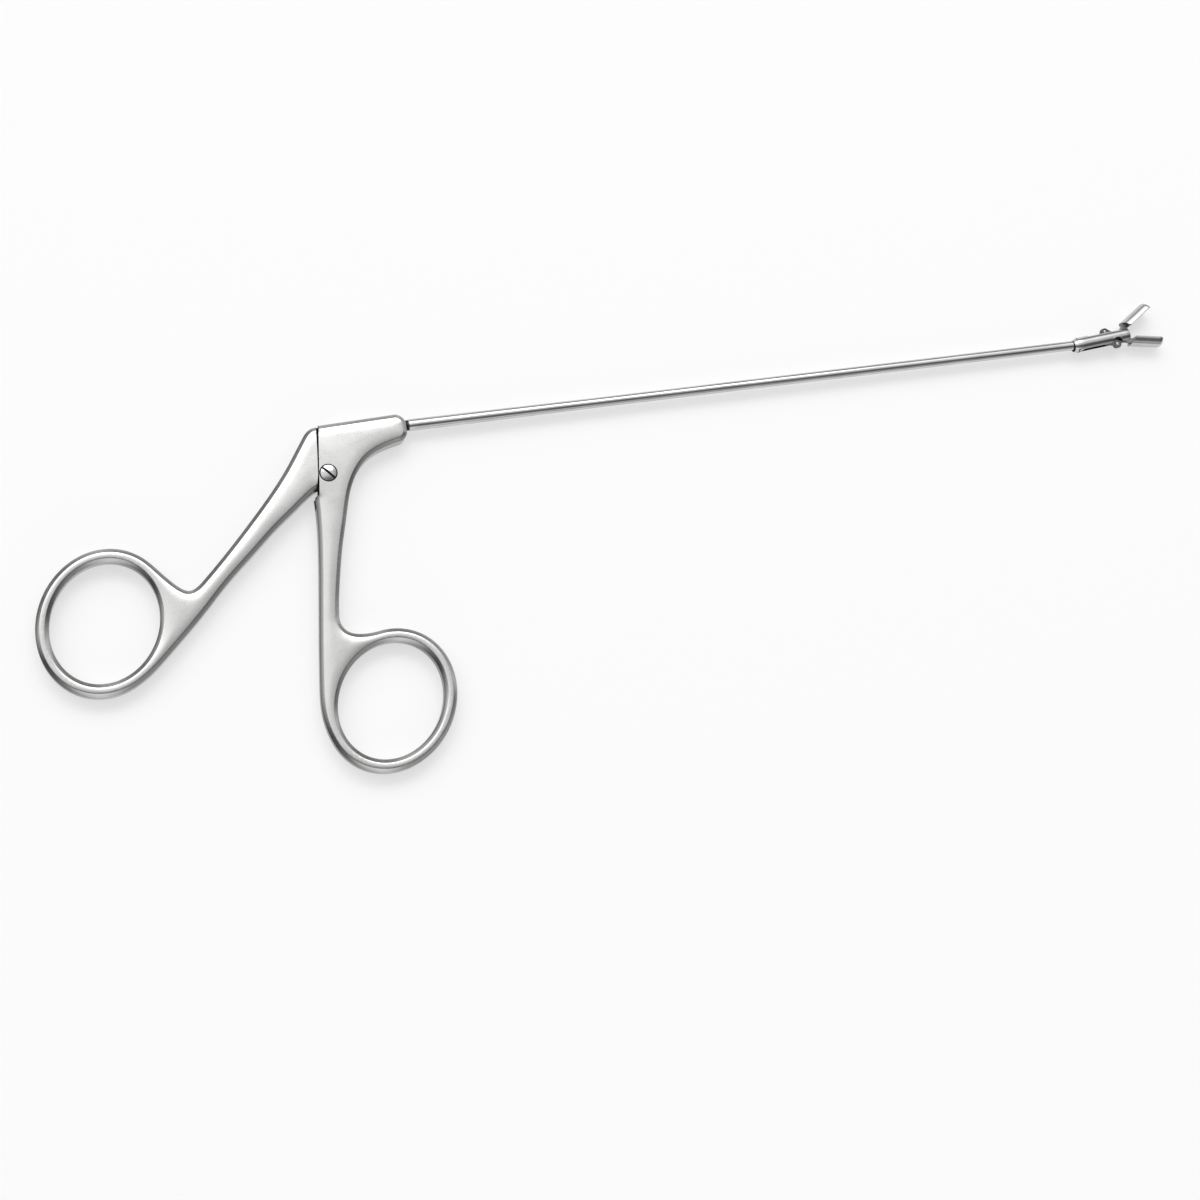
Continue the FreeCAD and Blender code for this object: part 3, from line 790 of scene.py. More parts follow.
@dataclass
class Joint:
    """Leaning joint between the handles: where the head block ends, and its pivot."""

    pivot: tuple[float, float] = (-19.05, -8.75)
    lean: float = 8.2
    behind_pivot: float = 1.98
    foot_y: float = -13.2
    ledge_drop: float = 4.0
    ledge_reach: float = 8.0
    gap_top: float = 0.55
    gap_pivot: float = 0.18
    gap_foot: float = 0.58
    gap_top_y: float = 6.0

    def x(self, y: float) -> float:
        """Where the head block's rear face stands at a height."""
        return self.pivot[0] - self.behind_pivot + (y - self.pivot[1]) * math.tan(math.radians(self.lean))

    def shoulder_x(self, y: float) -> float:
        """Where the rear handle's face stands at a height, behind the gap."""
        heights = [self.foot_y, self.pivot[1], self.gap_top_y]
        return self.x(y) - float(np.interp(y, heights, [self.gap_foot, self.gap_pivot, self.gap_top]))


@dataclass
class FrontHandle(Forging):
    """Head block, stem and finger ring in one forging, slotted for the rear handle's tongue."""

    joint: Joint = field(default_factory=Joint)
    taper: tuple[float, float] = (-14.0, -40.0)
    ring_at: tuple[float, float] = (-13.7, -58.3)
    ring_turn: float = 56.0
    ring_inner: tuple[float, float] = (12.7, 10.8)
    ring_outer: tuple[float, float] = (15.6, 13.5)
    ring_leave: float = 150.0
    ring_meet: float = 398.0
    nose_x: float = -0.8
    top_y: float = 1.75
    slot_half: float = 1.0
    slot_cutter: float = 11.0
    slot_cutter_at: tuple[float, float] = (-26.4, -5.0)
    screw_seat: float = 0.7
    screw_hole: float = 1.93
    far_hole: float = 0.95
    far_hole_deep: float = 0.25

    def half(self, xy: np.ndarray) -> np.ndarray:
        """Half thickness: a straight fall between the two taper heights."""
        share = np.interp(-xy[:, 1], [-self.taper[0], -self.taper[1]], [0.0, 1.0])
        return (self.thick_head + (self.thick_ring - self.thick_head) * share) / 2

    def outline(self) -> Outline:
        """Outer edge: ring, stem's front line, nose, top, joint face, ledge and the stem's rear line."""
        ring = Oval(self.ring_at, self.ring_outer, self.ring_turn)
        web, under, chin, brow = (-21.6, -39.5), (-2.6, -3.7), (self.nose_x, -1.5), (self.nose_x, 0.3)
        top, back = (-3.0, 2.33), (-22.6, self.top_y)
        meet, leave = ring.at(self.ring_meet), ring.at(self.ring_leave)
        stem = [web, (-20.2, -31.6), (-18.4, -24.2), (-16.6, -18.2), (-14.9, -12.9), (-12.7, -9.0),
                (-10.1, -6.4), (-6.1, -4.55), under]
        spine = spline([(-22.6, -13.0), (-23.5, -24.4), (-25.1, -35.0), (-27.8, -52.7), (-28.3, -58.5), leave],
                       (0, -1), ring.along(self.ring_leave))
        foot = (self.joint.x(self.joint.foot_y), self.joint.foot_y)
        slope = self.joint.ledge_drop / self.joint.ledge_reach
        ledge = self.joint.foot_y - slope * (foot[0] - spine[:, 0])
        first = int(np.argmax(spine[:, 1] < ledge))
        lip_x = float(spine[first, 0])
        lip = (lip_x, self.joint.foot_y - slope * (foot[0] - lip_x))
        fall = (top[1] - back[1]) / (top[0] - back[0])
        corner_x = self.joint.x(self.top_y)
        corner = (corner_x, top[1] + (corner_x - top[0]) * fall)
        cap = spline([brow, top], (0, 1), np.subtract(back, top))
        drop = corner[1] - self.slot_cutter_at[1]
        slot_x = self.slot_cutter_at[0] + math.sqrt(self.slot_cutter**2 - drop**2)
        slot_top = (slot_x, top[1] + (slot_x - top[0]) * fall)
        return Outline.joined([
            (ring.run(self.ring_leave, self.ring_meet), False),
            (spline([meet, (-17.6, -43.55), (-20.5, -42.4), web], ring.along(self.ring_meet), (0.1, 1)), False),
            (spline(stem, (0.1, 1), (1, 0.2)), False),
            (spline([under, chin], (1, 0.2), (0, 1), 0.12), False),
            (straight(chin, brow, 0.2), False),
            (cap, False),
            (straight(top, slot_top, 0.5), False),
            (straight(slot_top, corner, 0.2), False),
            (straight(corner, foot, 0.3), True),
            (straight(foot, lip, 0.2), True),
            (np.concatenate([[lip], spine[first + 1:]]), False),
        ])

    def enclosed(self, points: np.ndarray) -> np.ndarray:
        """Where painted near-black shade goes: the joint's face and ledge, and the slot on the cutter's circle
        within the slot's height.
        """
        x, y, z = points.T
        faces = self.joint.pivot[0] - self.joint.behind_pivot + (y - self.joint.pivot[1]) * math.tan(
            math.radians(self.joint.lean))
        face = (x < faces + 0.06) & (y > self.joint.foot_y - 0.06)
        reach = np.linalg.norm(points[:, :2] - self.slot_cutter_at, axis=1)
        return face | ((np.abs(z) < self.slot_half + 0.02) & (reach < self.slot_cutter + 0.5))

    def slotted(self, outline: Outline) -> np.ndarray:
        """The edge in the middle of the thickness: points inside the cutter's disc move onto its circle.

        The run of points inside the disc goes round the circle instead, by share of the run's length.
        """
        points = outline.points.copy()
        centre = np.array(self.slot_cutter_at)
        inner = np.linalg.norm(points - centre, axis=1) < self.slot_cutter - 1e-6
        index = np.flatnonzero(inner)
        run = points[index]
        length = np.concatenate([[0.0], np.cumsum(np.linalg.norm(np.diff(run, axis=0), axis=1))])
        first, last = run[0] - centre, run[-1] - centre
        a0, a1 = math.atan2(first[1], first[0]), math.atan2(last[1], last[0])
        a = a0 + (a1 - a0) * length / length[-1]
        points[index] = centre + self.slot_cutter * np.stack([np.cos(a), np.sin(a)], 1)
        return points

    def build(self) -> bpy.types.Object:
        """Makes and dresses the front handle."""
        outline = self.outline()
        ring = Oval(self.ring_at, self.ring_inner, self.ring_turn).run(360, 0, 1.6)
        hole = Outline.joined([(ring, False)])
        pits = [(self.joint.pivot, self.screw_hole, self.screw_seat, 1),
                (self.joint.pivot, self.far_hole, self.far_hole_deep, -1)]
        piece = self.blank("front_handle_forging", outline, hole, self.slotted(outline), self.slot_half, pits)
        return finished(piece, SATIN, Slot.SATIN, "frame", "front_handle")


@dataclass
class RearHandle(Forging):
    """Finger ring, stem and shoulder in one forging, with the tongue that pulls the rod."""

    joint: Joint = field(default_factory=Joint)
    taper: tuple[float, float] = (-27.0, -52.0)
    ring_at: tuple[float, float] = (-68.8, -33.7)
    ring_turn: float = 65.0
    ring_inner: tuple[float, float] = (12.7, 10.8)
    ring_outer: tuple[float, float] = (15.6, 13.5)
    ring_meet: float = 340.0
    ring_leave: float = 588.0
    tongue_half: float = 0.9
    tongue_r: float = 2.75
    lobe_r: float = 1.55
    lobe_at: tuple[float, float] = (-18.6, 0.0)

    def half(self, xy: np.ndarray) -> np.ndarray:
        """Half thickness: a straight fall between the two taper places along X."""
        share = np.interp(-xy[:, 0], [-self.taper[0], -self.taper[1]], [0.0, 1.0])
        return (self.thick_head + (self.thick_ring - self.thick_head) * share) / 2

    def outline(self) -> tuple[Outline, int, int]:
        """Outer edge, and where its joint face starts and ends among its points."""
        ring = Oval(self.ring_at, self.ring_outer, self.ring_turn)
        belly = [ring.at(self.ring_leave), (-56.0, -41.2), (-49.3, -35.1), (-43.3, -29.2), (-37.0, -23.7),
                 (-30.9, -18.5), (-26.7, -15.3), (-22.8, -12.4), (-18.5, -10.4)]
        lower = spline(belly, ring.along(self.ring_leave), (1, 0.35))
        faces = np.array([self.joint.shoulder_x(y) for y in lower[:, 1]])
        last = int(np.argmax(lower[:, 0] > faces))
        before, after = lower[last - 1], lower[last]
        t = (faces[last - 1] - before[0]) / ((after[0] - before[0]) - (faces[last] - faces[last - 1]))
        foot = before + (after - before) * t
        peak, nape, crook = (-20.6, 1.5), (-23.5, -0.9), (-47.6, -27.4)
        brow = (self.joint.shoulder_x(1.55), 1.55)
        knee = (self.joint.shoulder_x(self.joint.pivot[1]), self.joint.pivot[1])
        crest = spline([peak, (-22.3, 0.6), nape], (-1, -0.18), (-0.58, -0.81), 0.15)
        back = spline([nape, (-27.2, -6.1), (-35.9, -16.0), crook], (-0.58, -0.81), (-0.743, -0.669))
        crotch = spline([crook, (-51.1, -29.5), (-53.9, -27.7), ring.at(self.ring_meet)], (-0.743, -0.669),
                        ring.along(self.ring_meet))
        front = np.concatenate([straight(foot, knee, 0.3)[:-1], straight(knee, brow, 0.3)])
        runs = [
            (ring.run(self.ring_meet, self.ring_leave), False),
            (np.concatenate([lower[:last], [foot]]), False),
            (front, True),
            (straight(brow, peak, 0.15), False),
            (crest, False),
            (back, False),
            (crotch, False),
        ]
        start = sum(len(run) - 1 for run, _ in runs[:2])
        return Outline.joined(runs), start, start + len(front) - 1

    def enclosed(self, points: np.ndarray) -> np.ndarray:
        """Where painted near-black shade goes: the shoulder's face and the tongue in front of it."""
        faces = np.array([self.joint.shoulder_x(y) for y in points[:, 1]])
        return points[:, 0] > faces - 0.05

    def tongued(self, outline: Outline, start: int, end: int) -> np.ndarray:
        """The edge in the middle of the thickness: the joint face's run goes round the tongue instead.

        The tongue's line is an arc about the pivot, a straight rise, and an arc over the lobe; the run's
        points take it by share of its length.
        """
        pivot, lobe = np.array(self.joint.pivot), np.array(self.lobe_at)
        points = outline.points.copy()
        foot, brow = points[start], points[end]
        line = np.concatenate([
            [foot],
            arc(pivot, self.tongue_r, -115, 0),
            arc(lobe, self.lobe_r, 0, 88),
            [brow],
        ])
        length = np.concatenate([[0.0], np.cumsum(np.linalg.norm(np.diff(line, axis=0), axis=1))])
        share = np.linspace(0, length[-1], end - start + 1)
        points[start:end + 1] = np.stack([np.interp(share, length, line[:, k]) for k in (0, 1)], 1)
        return points

    def build(self) -> bpy.types.Object:
        """Makes and dresses the rear handle."""
        outline, start, end = self.outline()
        ring = Oval(self.ring_at, self.ring_inner, self.ring_turn).run(360, 0, 1.6)
        hole = Outline.joined([(ring, False)])
        core = self.tongued(outline, start, end)
        piece = self.blank("rear_handle_forging", outline, hole, core, self.tongue_half, [])
        return finished(piece, SATIN, Slot.SATIN, "rear_grip", "rear_handle")


@dataclass
class PivotScrew:
    """Domed screw head with a slot, its shank, and its end let into the far cheek."""

    joint: Joint = field(default_factory=Joint)
    face: float = 2.5
    head_r: float = 1.70
    seat: float = 0.7
    dome: float = 0.30
    shank_r: float = 1.0
    thread_r: float = 0.85
    slot_wide: float = 0.52
    slot_deep: float = 0.5
    slot_turn: float = -49.0

    def build(self) -> bpy.types.Object:
        """Turned section of head, shank and end, then the slot cut across the dome."""
        r, lip = self.head_r, 0.09
        bulge = (r**2 + self.dome**2) / (2 * self.dome)
        across = np.linspace(r - lip, 0, 12)
        crown = self.face + self.dome - bulge + np.sqrt(bulge**2 - across**2)
        section = [(-self.face + 0.02, 0.0), (-self.face + 0.02, self.thread_r - 0.1),
                   (-self.face + 0.12, self.thread_r), (0.0, self.thread_r), (0.0, self.shank_r),
                   (self.face - self.seat, self.shank_r),
                   (self.face - self.seat, r - 0.04), (self.face - self.seat + 0.05, r), (self.face - 0.06, r),
                   (self.face - 0.02, r - 0.01), (self.face + 0.02, r - 0.04)]
        section += np.stack([crown, across], 1).tolist()
        points, faces = turned(section, 72)
        x, y = self.joint.pivot
        upright = np.stack([x + points[:, 1], y + points[:, 2], points[:, 0]], 1)
        head = make_object("pivot_screw_turned", [(upright, faces)])
        carved(head, [self.slot()], Carving.CUT)
        smooth(honed(head, 0.03, 40), 30)
        # Painted near-black shade in the driver's slot and on the head's side.
        carry(head, "cavity", self.enclosed(middles_of(head)), Domain.FACE)
        return finished(head, TURNED, Slot.BRIGHT, "frame", "pivot_screw")

    def enclosed(self, middles: np.ndarray) -> np.ndarray:
        """Painted shade: 1 in the driver's slot and on the head's side below the face, 0 elsewhere."""
        a = math.radians(self.slot_turn)
        off = middles[:, :2] - self.joint.pivot
        across = np.abs(off[:, 1] * math.cos(a) - off[:, 0] * math.sin(a))
        low = middles[:, 2] < self.face - 0.05
        return np.where((across < self.slot_wide / 2 + 0.004) | low, 1.0, 0.0)

    def slot(self) -> bpy.types.Object:
        """Bar-shaped cutter across the head, turned about the pivot."""
        a = math.radians(self.slot_turn)
        along, across = np.array([math.cos(a), math.sin(a), 0]) * 3, np.array([-math.sin(a), math.cos(a), 0])
        across = across * self.slot_wide / 2
        floor = np.array([*self.joint.pivot, self.face + self.dome - self.slot_deep])
        ring = np.stack([-along - across, along - across, along + across, -along + across]) + floor
        tall = ring + (0, 0, 2)
        walls = sheet(np.stack([ring, tall]), wrap_cols=True)
        ends = (np.concatenate([ring, tall]), np.array([[3, 2, 1, 0], [4, 5, 6, 7]]))
        return make_object("slot_cutter", [walls, ends])


@dataclass
class Shaft:
    """Slim tube from the head block to the jaw housing, with a turned groove behind its shoulder."""

    rear_x: float = -7.8
    nose_x: float = -0.8
    rear_r: float = 1.28
    front_r: float = 1.11
    taper_end: float = 48.0
    front_x: float = 160.5
    housing_x: float = 159.3
    groove: float = 0.16
    bore: float = 0.7
    seam_shade: float = 0.85

    def build(self) -> bpy.types.Object:
        """Turned section: seat, groove with round shoulders, taper, straight run and bore.

        The groove and the last quarter of a millimetre before the housing get painted near-black shade.
        """
        low = self.rear_r - self.groove
        taper = np.linspace(0.12, self.taper_end, 24)
        share = (taper - 0.12) / (self.taper_end - 0.12)
        cone = self.rear_r + (self.front_r - self.rear_r) * (share * share * (3 - 2 * share))
        run = np.concatenate([np.linspace(self.taper_end, self.housing_x - 0.42, 60)[1:],
                              self.housing_x + np.array([-0.3, -0.22, 0.1]), [self.front_x]])
        section = [(self.rear_x, self.bore), (self.rear_x, self.rear_r), (self.nose_x + 0.02, self.rear_r),
                   (self.nose_x + 0.06, low), (-0.12, low), (-0.04, low + 0.03), (0.0, self.rear_r - 0.06),
                   (0.05, self.rear_r - 0.015)]
        section += np.stack([taper, cone], 1).tolist()
        section += np.stack([run, np.full(len(run), self.front_r)], 1).tolist()
        section += [(self.front_x, self.bore), (self.rear_x, self.bore)]
        piece = smooth(make_object("shaft_tube_drawn", [turned(section, 96)]), 35)
        x = points_of(piece)[:, 0]
        # Painted shade: near black in the groove and nearly so just before the housing, where the tube enters it.
        front = np.where(x > self.housing_x - 0.25, self.seam_shade, 0)
        carry(piece, "cavity", np.where(x < -0.08, 1.0, front))
        return finished(piece, DRAWN, Slot.BRIGHT, "frame", "shaft_tube")


# The jaw end

@dataclass
class Tip:
    """Frame of the jaw housing: it starts at the tube's front end and points slightly upwards."""

    at: tuple[float, float] = (159.3, -0.2)
    tilt: float = 4.5

    def placed(self, points: np.ndarray) -> np.ndarray:
        """Points of the housing's frame in the instrument's frame: turned by the tilt, then moved."""
        c, s = math.cos(math.radians(self.tilt)), math.sin(math.radians(self.tilt))
        x, y = points[:, 0] * c - points[:, 1] * s, points[:, 0] * s + points[:, 1] * c
        return np.column_stack([x + self.at[0], y + self.at[1], points[:, 2]])

    def local(self, points: np.ndarray) -> np.ndarray:
        """Points of the instrument's frame in the housing's frame: moved back, then turned back."""
        c, s = math.cos(math.radians(self.tilt)), math.sin(math.radians(self.tilt))
        x, y = points[:, 0] - self.at[0], points[:, 1] - self.at[1]
        return np.column_stack([x * c + y * s, y * c - x * s, points[:, 2]])

    def object(self, name: str, patches: Sequence[Patch]) -> bpy.types.Object:
        """Mesh object from patches given in the housing's frame."""
        return make_object(name, [(self.placed(points), faces) for points, faces in patches], 0.001)


def slab(outline: np.ndarray, low: float, high: float, edge: float,
         holes: Sequence[np.ndarray] = ()) -> list[Patch]:
    """Flat plate: a closed outline carried from one height to another, its rims rounded by a small edge.

    Args:
        outline: plane points, travelled with the material on the left.
        low: lower height.
        high: upper height.
        edge: radius of the rounded rims.
        holes: hole outlines, travelled the other way round.

    Returns:
        The patches of a closed plate.
    """
    a = np.radians([0, 30, 60, 90])
    drops, insets = edge * (1 - np.sin(a)), edge * (1 - np.cos(a))
    patches, loops = [], []
    for loop in [outline, *holes]:
        ring = Outline(loop, np.zeros(len(loop), bool))
        upper = [np.column_stack([ring.inset(i, i), np.full(len(loop), high - d)]) for d, i in zip(drops, insets)]
        lower = [np.column_stack([ring.inset(i, i), np.full(len(loop), low + d)]) for d, i in zip(drops, insets)]
        patches.append(sheet(np.stack(lower[::-1] + upper), wrap_cols=True))
        loops.append(upper[-1][:, :2])
    flat, tris = filled(loops, 0.4)
    for level in (low, high):
        patches.append((np.column_stack([flat, np.full(len(flat), level)]), tris))
    return patches


def dumbbell(a: np.ndarray, b: np.ndarray, r_a: float, r_b: float, half: float) -> np.ndarray:
    """Outline of a bar between two round eyes; the bar's sides leave each eye where they cut its circle."""
    along = math.degrees(math.atan2(b[1] - a[1], b[0] - a[0]))
    cut_a = math.degrees(math.asin(min(1.0, half / r_a)))
    cut_b = math.degrees(math.asin(min(1.0, half / r_b)))
    first = arc(a, r_a, along + cut_a, along + 360 - cut_a)
    second = arc(b, r_b, along + 180 + cut_b, along + 540 - cut_b)
    return np.concatenate([first, second])


def hole(centre: np.ndarray, radius: float) -> np.ndarray:
    """Round hole outline, travelled clockwise."""
    return arc(centre, radius, 360, 0, 0.08)[:-1]


@dataclass
class JawHousing:
    """Fork at the tube's end: rounded rear, slot from top to bottom and a scallop over the lower pin."""

    tip: Tip = field(default_factory=Tip)
    r: float = 1.8
    rear_r: float = 1.38
    taper: float = 2.4
    long: float = 14.6
    bore: float = 1.11
    tube_in: float = 1.2
    fork_from: float = 4.1
    fork_half: float = 1.15
    notch_from: float = 0.9
    room_r: float = 1.12
    room_from: float = 1.0
    scallop_at: tuple[float, float] = (11.003, -1.791)
    scallop_r: float = 1.5

    def build(self) -> bpy.types.Object:
        """Turned body, less the fork slot, the collar's room, the tube's seat and the scallop."""
        rear = spline([(0.12, self.rear_r), (self.taper, self.r)], (0.75, 0.4), (1, 0), 0.15)
        section = [(0.0, 0.0), (0.0, self.rear_r - 0.14), (0.03, self.rear_r - 0.06)] + rear.tolist()
        section += [(x, self.r) for x in np.linspace(self.taper, self.long - 0.15, 14)[1:]]
        section += [(self.long - 0.07, self.r - 0.02), (self.long - 0.02, self.r - 0.07),
                    (self.long, self.r - 0.15), (self.long, 0.0)]
        body = self.tip.object("jaw_housing_fork", [turned(section, 128)])
        room = self.bar("collar_room", self.room_from, self.fork_from + 0.3, self.room_r)
        seat = self.bar("tube_seat", -1.0, self.tube_in, self.bore)
        carved(body, [self.fork(), self.notch(), room, seat, self.scallop()], Carving.CUT)
        smooth(honed(body, 0.05, 38), 30)
        # Painted near-black shade inside the fork and bores, on the rear end and on the scallop.
        carry(body, "cavity", self.enclosed(self.tip.local(middles_of(body))), Domain.FACE)
        return finished(body, GROUND, Slot.BRIGHT, "frame", "jaw_housing")

    def enclosed(self, middles: np.ndarray) -> np.ndarray:
        """Painted shade: 1 inside the fork and the bores and on the rear end, 0.8 on the scallop, 0 outside."""
        x, y, z = middles.T
        away = np.hypot(y, z)
        bored = (away < max(self.bore, self.room_r) + 0.03) & (x < self.fork_from + 0.4)
        forked = (np.abs(z) < self.fork_half + 0.02) & (away < self.r - 0.1) & (x > self.notch_from) & (
            x < self.long - 0.05)
        inner = bored | forked
        scallop = np.hypot(x - self.scallop_at[0], y - self.scallop_at[1]) < self.scallop_r + 0.01
        return np.where(inner | (x < 0.02), 1.0, np.where(scallop & (z > 0), 0.8, 0.0))

    def notch(self) -> bpy.types.Object:
        """Cutter for the run-out of the fork's slot along the underside: it deepens towards the fork."""
        line = np.array([(self.notch_from, -self.r - 0.4), (self.fork_from + 0.4, -self.r - 0.4),
                         (self.fork_from + 0.4, -0.9), (3.0, -1.2), (1.9, -1.5),
                         (self.notch_from, -self.r + 0.02)])
        half = self.fork_half - 0.03
        return self.tip.object("notch_cutter", slab(line, -half, half, 0.01))

    def fork(self) -> bpy.types.Object:
        """Cutter for the slot between the cheeks."""
        rear, front, high = self.fork_from, self.long + 3, 4.0
        corners = np.array([(rear, -high), (front, -high), (front, high), (rear, high)])
        return self.tip.object("fork_cutter", slab(corners, -self.fork_half, self.fork_half, 0.01))

    def bar(self, name: str, start: float, end: float, radius: float) -> bpy.types.Object:
        """Round cutter along the housing's axis."""
        return self.tip.object(name, [turned([(start, 0), (start, radius), (end, radius), (end, 0)], 64)])

    def scallop(self) -> bpy.types.Object:
        """Round cutter across the near cheek, over the lower pin."""
        circle = arc(self.scallop_at, self.scallop_r, 0, 360, 0.12)[:-1]
        return self.tip.object("scallop_cutter", slab(circle, 0.3, 3.2, 0.01))


JAW_PIVOT = (12.1, 0.0)


@dataclass
class CupJaw:
    """Half-round cup with a rounded end, its neck, and the tail that the link pulls.

    The jaw's own X runs along it from the pivot; side is +1 if the cup's back faces up. shades are how
    dark the painted shade is on the tail, on the eye and neck, and on the cup's inside.
    """

    name: str
    side: int
    angle: float
    tail: tuple[float, float]
    layer: tuple[float, float]
    tip: Tip = field(default_factory=Tip)
    pivot: tuple[float, float] = JAW_PIVOT
    r: float = 2.0
    start: float = 2.75
    end: float = 11.4
    wall: float = 0.34
    floor: float = 4.1
    corner: float = 1.25
    rim_gap: float = 0.03
    rim_from: float = 4.0
    pin_r: float = 0.49
    tail_pin_r: float = 0.48
    eye_r: float = 1.15
    tail_eye_r: float = 0.85
    tail_half: float = 0.75
    shades: tuple[float, float, float] = (0.85, 0.6, 0.35)

    def lathe_section(self) -> np.ndarray:
        """Section of the cup's wall: outside from the rear to the rounded end, then inside back again."""
        inner_r, inner_end, round_in = self.r - self.wall, self.end - self.wall, self.corner - self.wall
        outside = [[self.start, 0.0], [self.start, self.r * 0.5], [self.start, self.r]]
        outside += [[x, self.r] for x in np.linspace(self.start, self.end - self.corner, 14)[1:]]
        outside += arc((self.end - self.corner, self.r - self.corner), self.corner, 90, 0, 0.14)[1:].tolist()
        outside += [[self.end, 0.0]]
        inside_ = [[inner_end, 0.0]]
        inside_ += arc((inner_end - round_in, inner_r - round_in), round_in, 0, 90, 0.14).tolist()
        inside_ += [[x, inner_r] for x in np.linspace(inner_end - round_in, self.floor + round_in, 10)[1:-1]]
        inside_ += arc((self.floor + round_in, inner_r - round_in), round_in, 90, 180, 0.14).tolist()
        inside_ += [[self.floor, 0.0]]
        return np.array(outside + inside_)

    def cup(self) -> list[Patch]:
        """The wall's section turned half a turn about the jaw's axis, closed along the rim."""
        section = self.lathe_section()
        points, faces = turned(section, 64, (-90, 90))
        lifted = points + (0, self.rim_gap, 0)
        flat, tris = filled([section], 0.25)
        rims = [np.column_stack([flat[:, 0], np.full(len(flat), self.rim_gap), s * flat[:, 1]]) for s in (-1, 1)]
        return [(lifted, faces), (rims[0], tris), (rims[1], tris)]

    def swung(self, points: np.ndarray) -> np.ndarray:
        """Points of the jaw's own frame in the housing's: mirrored by side, turned, moved to the pivot."""
        a = math.radians(self.angle)
        x, y = points[:, 0], points[:, 1] * self.side
        return np.column_stack([x * math.cos(a) - y * math.sin(a) + self.pivot[0],
                                x * math.sin(a) + y * math.cos(a) + self.pivot[1], points[:, 2]])

    def heel(self) -> list[Patch]:
        """Cutter that slopes the cup's rear end, in the jaw's own frame."""
        line = np.array([(0.0, -self.r), (self.rim_from, -self.r), (self.rim_from, self.rim_gap),
                         (self.start + 0.1, self.r + 0.1), (0.0, self.r + 0.1)])
        return slab(line, -3.0, 3.0, 0.01)

    def neck(self) -> list[Patch]:
        """Flat neck from the pivot eye into the cup."""
        line = np.array([(0.0, -0.6), (2.6, self.rim_gap), (4.1, self.rim_gap), (4.1, 1.4), (0.0, 0.95)])
        return slab(line, *self.layer, 0.02)

    def build(self) -> bpy.types.Object:
        """Joins cup, neck and tail, and dresses the jaw."""
        cup = self.tip.object(self.name + "_cup", [(self.swung(p), f) for p, f in self.cup()])
        heel = self.tip.object(self.name + "_heel", [(self.swung(p), f) for p, f in self.heel()])
        carved(cup, [heel], Carving.CUT)
        neck = self.tip.object(self.name + "_neck", [(self.swung(p), f) for p, f in self.neck()])
        line = dumbbell(np.array(self.pivot), np.array(self.tail), self.eye_r, self.tail_eye_r, self.tail_half)
        holes = [hole(np.array(self.pivot), self.pin_r), hole(np.array(self.tail), self.tail_pin_r)]
        tail = self.tip.object(self.name + "_tail", slab(line, *self.layer, 0.02, holes))
        carved(cup, [neck, tail], Carving.JOIN)
        smooth(honed(cup, 0.035, 40), 30)
        # Painted shade on the tail, the eye and neck, and inside the cup.
        carry(cup, "cavity", self.enclosed(self.tip.local(middles_of(cup))), Domain.FACE)
        return finished(cup, GROUND, Slot.SATIN, self.name, self.name)

    def enclosed(self, middles: np.ndarray) -> np.ndarray:
        """Painted shade of each face's middle, by shades: tail, eye and neck, cup's inside, 0 elsewhere."""
        a = math.radians(self.angle)
        off = middles[:, :2] - self.pivot
        x = off[:, 0] * math.cos(a) + off[:, 1] * math.sin(a)
        y = self.side * (off[:, 1] * math.cos(a) - off[:, 0] * math.sin(a))
        away = np.hypot(off[:, 0], off[:, 1])
        radius = np.hypot(y - self.rim_gap, middles[:, 2])
        lengthwise = (x > self.floor - 0.05) & (x < self.end - self.wall + 0.02)
        bowl = (radius < self.r - self.wall + 0.02) & lengthwise & (y > self.rim_gap + 0.02)
        held = (radius < self.r - 0.12) & (x < self.floor)
        return np.select([(away > 1.2) & (x < 0.8), (x < 2.6) | held, bowl], self.shades, 0.0)


